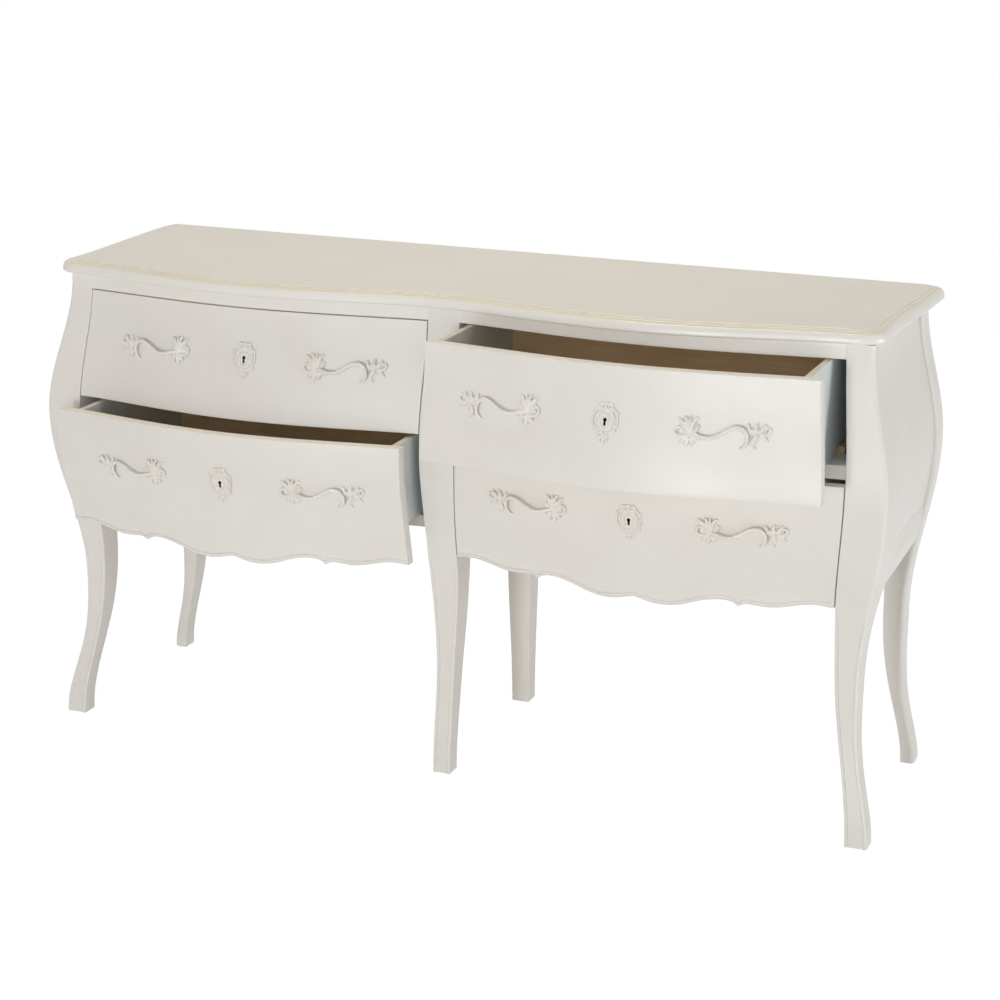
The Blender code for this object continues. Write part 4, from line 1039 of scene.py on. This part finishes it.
# Strokes of a right-hand pull in millimetres: (flatness, ((along, up, out, radius), ...))
PULL_STROKES = {
    "bar": (1.0, (
        (-46, -3.6, 3, 3.6), (-38, -4.4, 6, 3.5), (-29, -6.4, 9, 3.2), (-20, -7.2, 11, 2.9),
        (-11, -5.4, 12, 2.8), (-3, -1.8, 12.4, 2.7), (6, 3.8, 12.4, 2.8), (14, 8, 12, 2.9),
        (22, 9.8, 11, 3.1), (30, 7.4, 9.4, 3.2), (35, 1, 7.5, 3.2), (36.5, -7, 5.8, 2.9),
        (34.5, -14, 4.2, 2.6), (30.5, -19, 3, 2.2), (26.5, -19.5, 2.6, 1.6),
    )),
    "collar": (1.0, ((-7.2, -4, 12.3, 3.1), (-5.4, -3, 12.3, 4), (-3.6, -2, 12.3, 3.1))),
    "curl_left": (0.8, (
        (-49, -6, 3.4, 3.2), (-58, -9, 3.6, 3), (-65, -7, 3.4, 2.8), (-67.4, -1, 3.2, 2.6),
        (-64, 3.6, 3, 2.3), (-59.5, 1.8, 3, 2), (-60.8, -2, 3.2, 1.9),
    )),
    "leaf_left": (0.7, (
        (-49, 2, 3.2, 3.6), (-56, 9, 3.6, 3.7), (-61.5, 14, 3, 2.8), (-65.5, 17, 2, 1.2),
    )),
    "prong_left": (0.9, (
        (-49, 0, 3.6, 3.2), (-51, 9, 4, 3), (-51.5, 15.5, 3.4, 2.7), (-56, 19.6, 2.4, 1.8),
    )),
    "prong_right": (0.9, (
        (-44, 0, 3.6, 3.2), (-42, 9, 4, 3), (-39.5, 15.5, 3.4, 2.8), (-34.5, 18.2, 2.4, 1.9),
    )),
    "middle": (0.9, ((-46.5, -2, 4.4, 3), (-46.5, 10, 4.4, 2.4), (-46.2, 20.5, 2.6, 1.5))),
    "leaf_right": (0.8, ((-42, -3, 3.2, 3.2), (-36.5, 2.5, 3.2, 3.1), (-33.2, 8.5, 2.2, 1.8))),
    "lobe_left": (0.8, ((-48, -7, 3.4, 3.4), (-55, -14, 3.2, 3.3), (-60, -17.5, 2.2, 1.9))),
    "tail_left": (0.8, ((-47, -9, 3.6, 3.6), (-48.8, -17, 3.2, 3), (-51, -23.5, 2.2, 1.5))),
    "tail_right": (0.8, ((-44, -9, 3.6, 3.4), (-40.6, -16, 3, 2.8), (-42, -22, 2.2, 1.4))),
    "lobe_right": (0.8, ((-42, -7, 3.2, 3.2), (-36, -11.8, 2.8, 2.7), (-32.4, -11, 2, 1.6))),
    "leaf_a": (0.9, ((41, 2, 3.2, 3.2), (37.6, 9, 3.4, 3), (35.5, 14.8, 2.4, 1.6))),
    "leaf_b": (0.9, ((47, 4, 3.6, 3.2), (47.5, 11, 3.6, 3), (49.5, 17.2, 2.4, 1.6))),
    "leaf_c": (0.9, ((54, 5, 3.4, 3.2), (58, 11, 3.4, 3), (61.5, 16, 2.2, 1.5))),
    "curl_right": (0.8, (
        (54, 1.5, 3.4, 3.2), (61, 0.8, 3.4, 2.9), (66.4, 3.6, 3.2, 2.7), (67.2, 9, 3, 2.4),
        (63, 10.6, 3, 2.1), (61.6, 7, 3, 1.8),
    )),
    "leaf_low": (0.8, ((55, -1, 3.2, 3.2), (61.5, -5, 3, 2.7), (66, -9.5, 2, 1.4))),
    "leg_right": (0.9, (
        (50, 0, 3.6, 3.3), (45.6, -6, 3.6, 3.1), (43.6, -12, 3.2, 2.8), (46, -17, 2.6, 2.3),
        (50, -19, 2, 1.6),
    )),
    "rib": (0.9, ((38, 4, 4.2, 2.8), (46, 6, 4.6, 3), (54, 5, 4, 2.8))),
}
# Rounded masses of the pull: (along, up, out, half length, half width, half height)
PULL_MASSES = (
    (-47, -2, 2.2, 8, 10, 3.6), (-52, 1, 1, 12, 13, 2.4), (-41, 3, 1, 7, 10, 2.2),
    (-49, -11, 1, 10, 9, 2.2), (50, 3, 1.2, 14, 8, 2.6), (46, 4, 2.4, 7, 5.5, 3.6),
    (46, -6, 1, 6, 9, 1.8),
)
# Strokes of the right half of an escutcheon in millimetres, and those on its middle line
PLATE_STROKES = {
    "rim": (1.0, (
        (0, 8.6, 2.4, 1.3), (4.8, 6.8, 2.4, 1.3), (7.2, 1.8, 2.4, 1.35), (7.3, -4.2, 2.4, 1.35),
        (5.2, -10, 2.4, 1.3), (0, -12.8, 2.4, 1.3),
    )),
    "border": (1.0, (
        (0, 23, 2, 1.5), (7, 21, 2, 1.6), (13.5, 15, 2, 1.6), (18.5, 6, 2, 1.7),
        (19.3, -2, 2, 1.7), (16, -12, 2, 1.6), (10.5, -20.5, 2, 1.5), (4, -25.5, 2, 1.4),
        (0, -27, 2, 1.4),
    )),
    "scroll_top": (1.0, (
        (2, 14.5, 2.2, 1.5), (6.5, 16.5, 2.3, 1.6), (10.6, 13, 2.3, 1.5), (10, 9, 2.2, 1.3),
    )),
    "scroll_side": (1.0, (
        (11.2, 9, 2, 1.4), (14.6, 4.5, 2.2, 1.6), (14.6, -2.5, 2.2, 1.6), (11.6, -7, 2, 1.4),
    )),
    "scroll_low": (1.0, (
        (11.5, -10, 2, 1.3), (10.8, -15, 2.2, 1.5), (6.6, -18.6, 2.2, 1.5), (4, -16, 2, 1.2),
    )),
    "lobe": (0.9, ((4, 20, 1.8, 2), (8, 23, 1.8, 2), (11.5, 21.5, 1.6, 1.4))),
    "wing": (0.9, ((16, 10, 1.6, 1.8), (18.8, 11.6, 1.6, 1.6), (19.8, 8, 1.6, 1.3))),
    "wing_low": (0.9, ((15, -13, 1.6, 1.8), (17.6, -15.6, 1.6, 1.5), (15.4, -18.6, 1.4, 1.1))),
    "pendant_side": (0.9, ((3, -22, 1.8, 1.7), (5.8, -27.5, 1.8, 1.6), (4.6, -31, 1.4, 1))),
}
PLATE_MIDDLE_STROKES = {
    "crest": (0.9, ((0, 12, 2.2, 2), (0, 19, 2.6, 2.3), (0, 25, 1.8, 1.5))),
    "pendant": (0.9, (
        (0, -16, 2.2, 1.7), (0, -25, 2.4, 2.2), (0.4, -31, 2, 1.6), (0, -35.5, 1.4, 0.9),
    )),
}
PLATE_MASSES = (
    (0, -2, 0.4, 18, 24, 1.9), (0, 8, 0.4, 15, 15, 1.9), (0, -15, 0.4, 12, 14, 1.8),
)


def stroke_mesh(flatness, points):
    """A tapering round stroke through its points, flattened towards its base."""
    data = bpy.data.curves.new("stroke", "CURVE")
    settings(data, dimensions="3D", bevel_depth=MM, bevel_resolution=3, use_fill_caps=True)
    line = data.splines.new("BEZIER")
    line.bezier_points.add(len(points) - 1)
    line.resolution_u = 6
    for knot, (along, up, out, radius) in zip(line.bezier_points, points):
        knot.co = (along * MM, -out * MM * flatness, up * MM)
        knot.radius = radius
        knot.handle_left_type = knot.handle_right_type = "AUTO"
    return evaluated(new_object("stroke", data))


def mass_mesh(along, up, out, half_length, half_width, half_height):
    """A rounded mass, as a stretched ball."""
    bm = bmesh.new()
    bmesh.ops.create_icosphere(bm, subdivisions=3, radius=1.0)
    size = Matrix.Diagonal((half_length * MM, half_height * MM, half_width * MM, 1.0))
    bmesh.ops.transform(bm, matrix=size, verts=bm.verts)
    bmesh.ops.translate(bm, vec=(along * MM, -out * MM, up * MM), verts=bm.verts)
    mesh = bpy.data.meshes.new("mass")
    bm.to_mesh(mesh)
    bm.free()
    return mesh


def casting(name, meshes, base):
    """Fuse strokes and masses into one casting with a flat base, and thin out its faces."""
    bm = bmesh.new()
    for mesh in meshes:
        bm.from_mesh(mesh)
        bpy.data.meshes.remove(mesh)
    bmesh.ops.remove_doubles(bm, verts=bm.verts, dist=SAME_POINT)
    mesh = bpy.data.meshes.new(name)
    bm.to_mesh(mesh)
    bm.free()
    obj = new_object(name, mesh)
    settings(obj.modifiers.new("fuse", "REMESH"), mode="VOXEL", voxel_size=VOXEL)
    settings(obj.modifiers.new("smooth", "SMOOTH"), factor=0.5, iterations=3)
    mesh = evaluated(obj)
    bm = bmesh.new()
    bm.from_mesh(mesh)
    geometry = [*bm.verts, *bm.edges, *bm.faces]
    made = bmesh.ops.bisect_plane(
        bm, geom=geometry, plane_co=(0.0, -base, 0.0), plane_no=(0.0, 1.0, 0.0), clear_outer=True
    )
    edges = [item for item in made["geom_cut"] if isinstance(item, bmesh.types.BMEdge)]
    bmesh.ops.holes_fill(bm, edges=edges)
    bmesh.ops.triangulate(bm, faces=bm.faces)
    bm.to_mesh(mesh)
    bm.free()
    obj = new_object(name, mesh)
    ratio = min(1.0, FITTING_FACES / max(1, len(mesh.polygons)))
    settings(obj.modifiers.new("reduce", "DECIMATE"), ratio=ratio)
    return evaluated(obj)


def bent(master, name, place, hand, slope=0.0):
    """A copy of a flat fitting laid on the curved front of the right-hand bay."""
    mesh = master.copy()
    mesh.name = name
    points = vectors_of(mesh.vertices, "co")
    across = place[0] + points[:, 0] * hand
    height = place[1] + points[:, 2] + slope * (PULL_REACH - points[:, 0])
    along = front_y(across, height) + points[:, 1] + SHIFT_Y
    mesh.vertices.foreach_set("co", np.column_stack([across, along, height]).ravel())
    if hand < 0.0:
        mesh.flip_normals()
    mesh.update()
    return mesh


def pull_master():
    """The right-hand pull, flat."""
    meshes = [stroke_mesh(*stroke) for stroke in PULL_STROKES.values()]
    meshes += [mass_mesh(*mass) for mass in PULL_MASSES]
    return casting("pull_master", meshes, PULL_BASE)


def plate_master():
    """The escutcheon, flat."""
    meshes = []
    for flatness, points in PLATE_STROKES.values():
        meshes.append(stroke_mesh(flatness, points))
        mirrored = [(-along, up, out, size) for along, up, out, size in points]
        meshes.append(stroke_mesh(flatness, mirrored))
    meshes += [stroke_mesh(*stroke) for stroke in PLATE_MIDDLE_STROKES.values()]
    meshes += [mass_mesh(*mass) for mass in PLATE_MASSES]
    return casting("plate_master", meshes, PLATE_BASE)


def drawers():
    """The four drawers as found, with their fittings."""
    pull, plate = pull_master(), plate_master()
    closed = {
        "upper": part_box("drawer_upper_left_front")[0].y,
        "lower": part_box("drawer_lower_right_front")[0].y,
    }
    for level in ("upper", "lower"):
        for side, mirror in SIDES:
            body = f"drawer_{level}_{side}"
            forward = closed[level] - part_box(f"{body}_front")[0].y
            key_place = (FITTINGS_X[side], KEY_Z[level])
            drawer_front(f"{body}_front", level, key_place, mirror, forward, body)
            name = f"escutcheon_{level}_{side}"
            mesh = bent(plate, name, key_place, 1.0)
            mesh = mark_keyhole_shade(cut(mesh, keyhole(*key_place)), *key_place)
            mesh = placed(mesh, mirror, forward)
            finish(name, mesh, FITTING_PAINT, body, FITTING_SMOOTH)
            for hand, turn in SIDES:
                name = f"pull_{level}_{side}_{hand}"
                place = (FITTINGS_X[side] + PULL_OFFSET * turn * mirror, PULL_Z[level])
                slope = LEFT_PULL_SLOPE if hand == "left" else 0.0
                mesh = placed(bent(pull, name, place, turn * mirror, slope), mirror, forward)
                finish(name, mesh, FITTING_PAINT, body, FITTING_SMOOTH)


def own_material(name):
    """The material of a node that keeps its solid, or None for one that is replaced."""
    if name.startswith("lock_"):
        return LOCK_METAL
    if name == "centre_partition" or name.startswith("runner_frame"):
        return LIT_CASE_WOOD
    if name == "back_panel":
        return LIT_BACK_WOOD
    if name.startswith("drawer_") and name.endswith(("_side_left", "_side_right")):
        return DRAWER_SIDE
    if name.startswith("drawer_") and name.endswith(("_back", "_bottom")):
        return LIT_DRAWER_WOOD
    return None


def carried_over():
    """New materials and softened edges on the pieces whose shape is right."""
    for name, obj in frame["nodes"].items():
        material = own_material(name)
        if material is None:
            continue
        obj.data.materials.clear()
        obj.data.materials.append(material)
        bevel = obj.modifiers.new("soft_edges", "BEVEL")
        settings(bevel, width=SOFT_EDGE, segments=2, limit_method="ANGLE")
        bevel.angle_limit = math.radians(SOFT_EDGE_ANGLE)


# Room

def seen_white(tree):
    """1 for rays of the camera and for rays seen in gloss, 0 for those that carry light."""
    path = tree.nodes.new("ShaderNodeLightPath")
    most = add(tree, "ShaderNodeMath", operation="MAXIMUM")
    tree.links.new(path.outputs["Is Camera Ray"], most.inputs[0])
    tree.links.new(path.outputs["Is Glossy Ray"], most.inputs[1])
    return most.outputs[0]


def blended(tree, share, first, second, output):
    """Two shaders mixed by a share, at a tree's output."""
    mix = tree.nodes.new("ShaderNodeMixShader")
    for index, source in enumerate((share, first.outputs[0], second.outputs[0])):
        tree.links.new(source, mix.inputs[index])
    fill(tree, tree.nodes[output], surface=mix.outputs[0])


def floor():
    """A pale floor that reads white and keeps the object's shadow."""
    bm = bmesh.new()
    bmesh.ops.create_grid(bm, x_segments=1, y_segments=1, size=FLOOR_HALF)
    mesh = bpy.data.meshes.new("floor")
    bm.to_mesh(mesh)
    bm.free()
    obj = new_object("floor", mesh, SCENE.collection)
    material, tree, shader, _ = new_material("floor_white")
    fill(tree, shader, base_color=(*srgb(*FLOOR_GREY), 1.0), roughness=FLOOR_ROUGHNESS)
    glow = add(tree, "ShaderNodeEmission", color=(1.0, 1.0, 1.0, 1.0), strength=FLOOR_WHITE)
    share = add(tree, "ShaderNodeMath", operation="MULTIPLY_ADD")
    tree.links.new(seen_white(tree), share.inputs[0])
    share.inputs[1].default_value = FLOOR_SEEN_GLOW - FLOOR_GLOW
    share.inputs[2].default_value = FLOOR_GLOW
    blended(tree, share.outputs[0], shader, glow, "Material Output")
    mesh.materials.append(material)


def world():
    """Soft daylight from all round, white where the camera sees past the floor."""
    sky = bpy.data.worlds.new("studio")
    SCENE.world = sky
    sky.use_nodes = True
    tree = sky.node_tree
    direction = tree.nodes.new("ShaderNodeTexCoord").outputs["Generated"]
    stops = [(rise, tuple(level * tint for tint in SKY_TINT)) for rise, level in SKY_LEVELS]
    sky_tone = ramp(tree, height_of(tree, direction), stops)
    light = fill(tree, tree.nodes["Background"], color=sky_tone, strength=1.0)
    white = add(tree, "ShaderNodeBackground", color=(1.0, 1.0, 1.0, 1.0), strength=1.0)
    blended(tree, seen_white(tree), light, white, "World Output")


def lamps():
    """Square area lamps: two in front, one at each side and one overhead."""
    for name, (place, size, power, colour) in LAMPS.items():
        data = bpy.data.lights.new(name, "AREA")
        settings(data, shape="SQUARE", size=size, energy=power, color=colour)
        obj = new_object(name, data, SCENE.collection)
        aim = Vector(LAMP_TARGET) - Vector(place)
        settings(obj, location=place, rotation_euler=aim.to_track_quat("-Z", "Y").to_euler())


def camera():
    """The photograph's camera."""
    data = bpy.data.cameras.new("camera")
    settings(data, sensor_width=CAMERA_SENSOR_MM, lens=CAMERA_LENS_MM)
    data.clip_start, data.clip_end = CAMERA_CLIP
    obj = new_object("camera", data, SCENE.collection)
    obj.location = Vector(CAMERA_PLACE) + Vector((0.0, SHIFT_Y, 0.0))
    obj.rotation_euler = (math.pi / 2.0 - CAMERA_PITCH, 0.0, CAMERA_YAW)
    SCENE.camera = obj


def main():
    """Dress the chest and light it."""
    SCENE.view_settings.view_transform = "Standard"
    top_board()
    front_posts()
    rear_posts()
    side_panels()
    side_rails()
    front_rails()
    drawers()
    carried_over()
    floor()
    world()
    lamps()
    camera()
    bpy.data.collections.remove(HELPERS)


main()
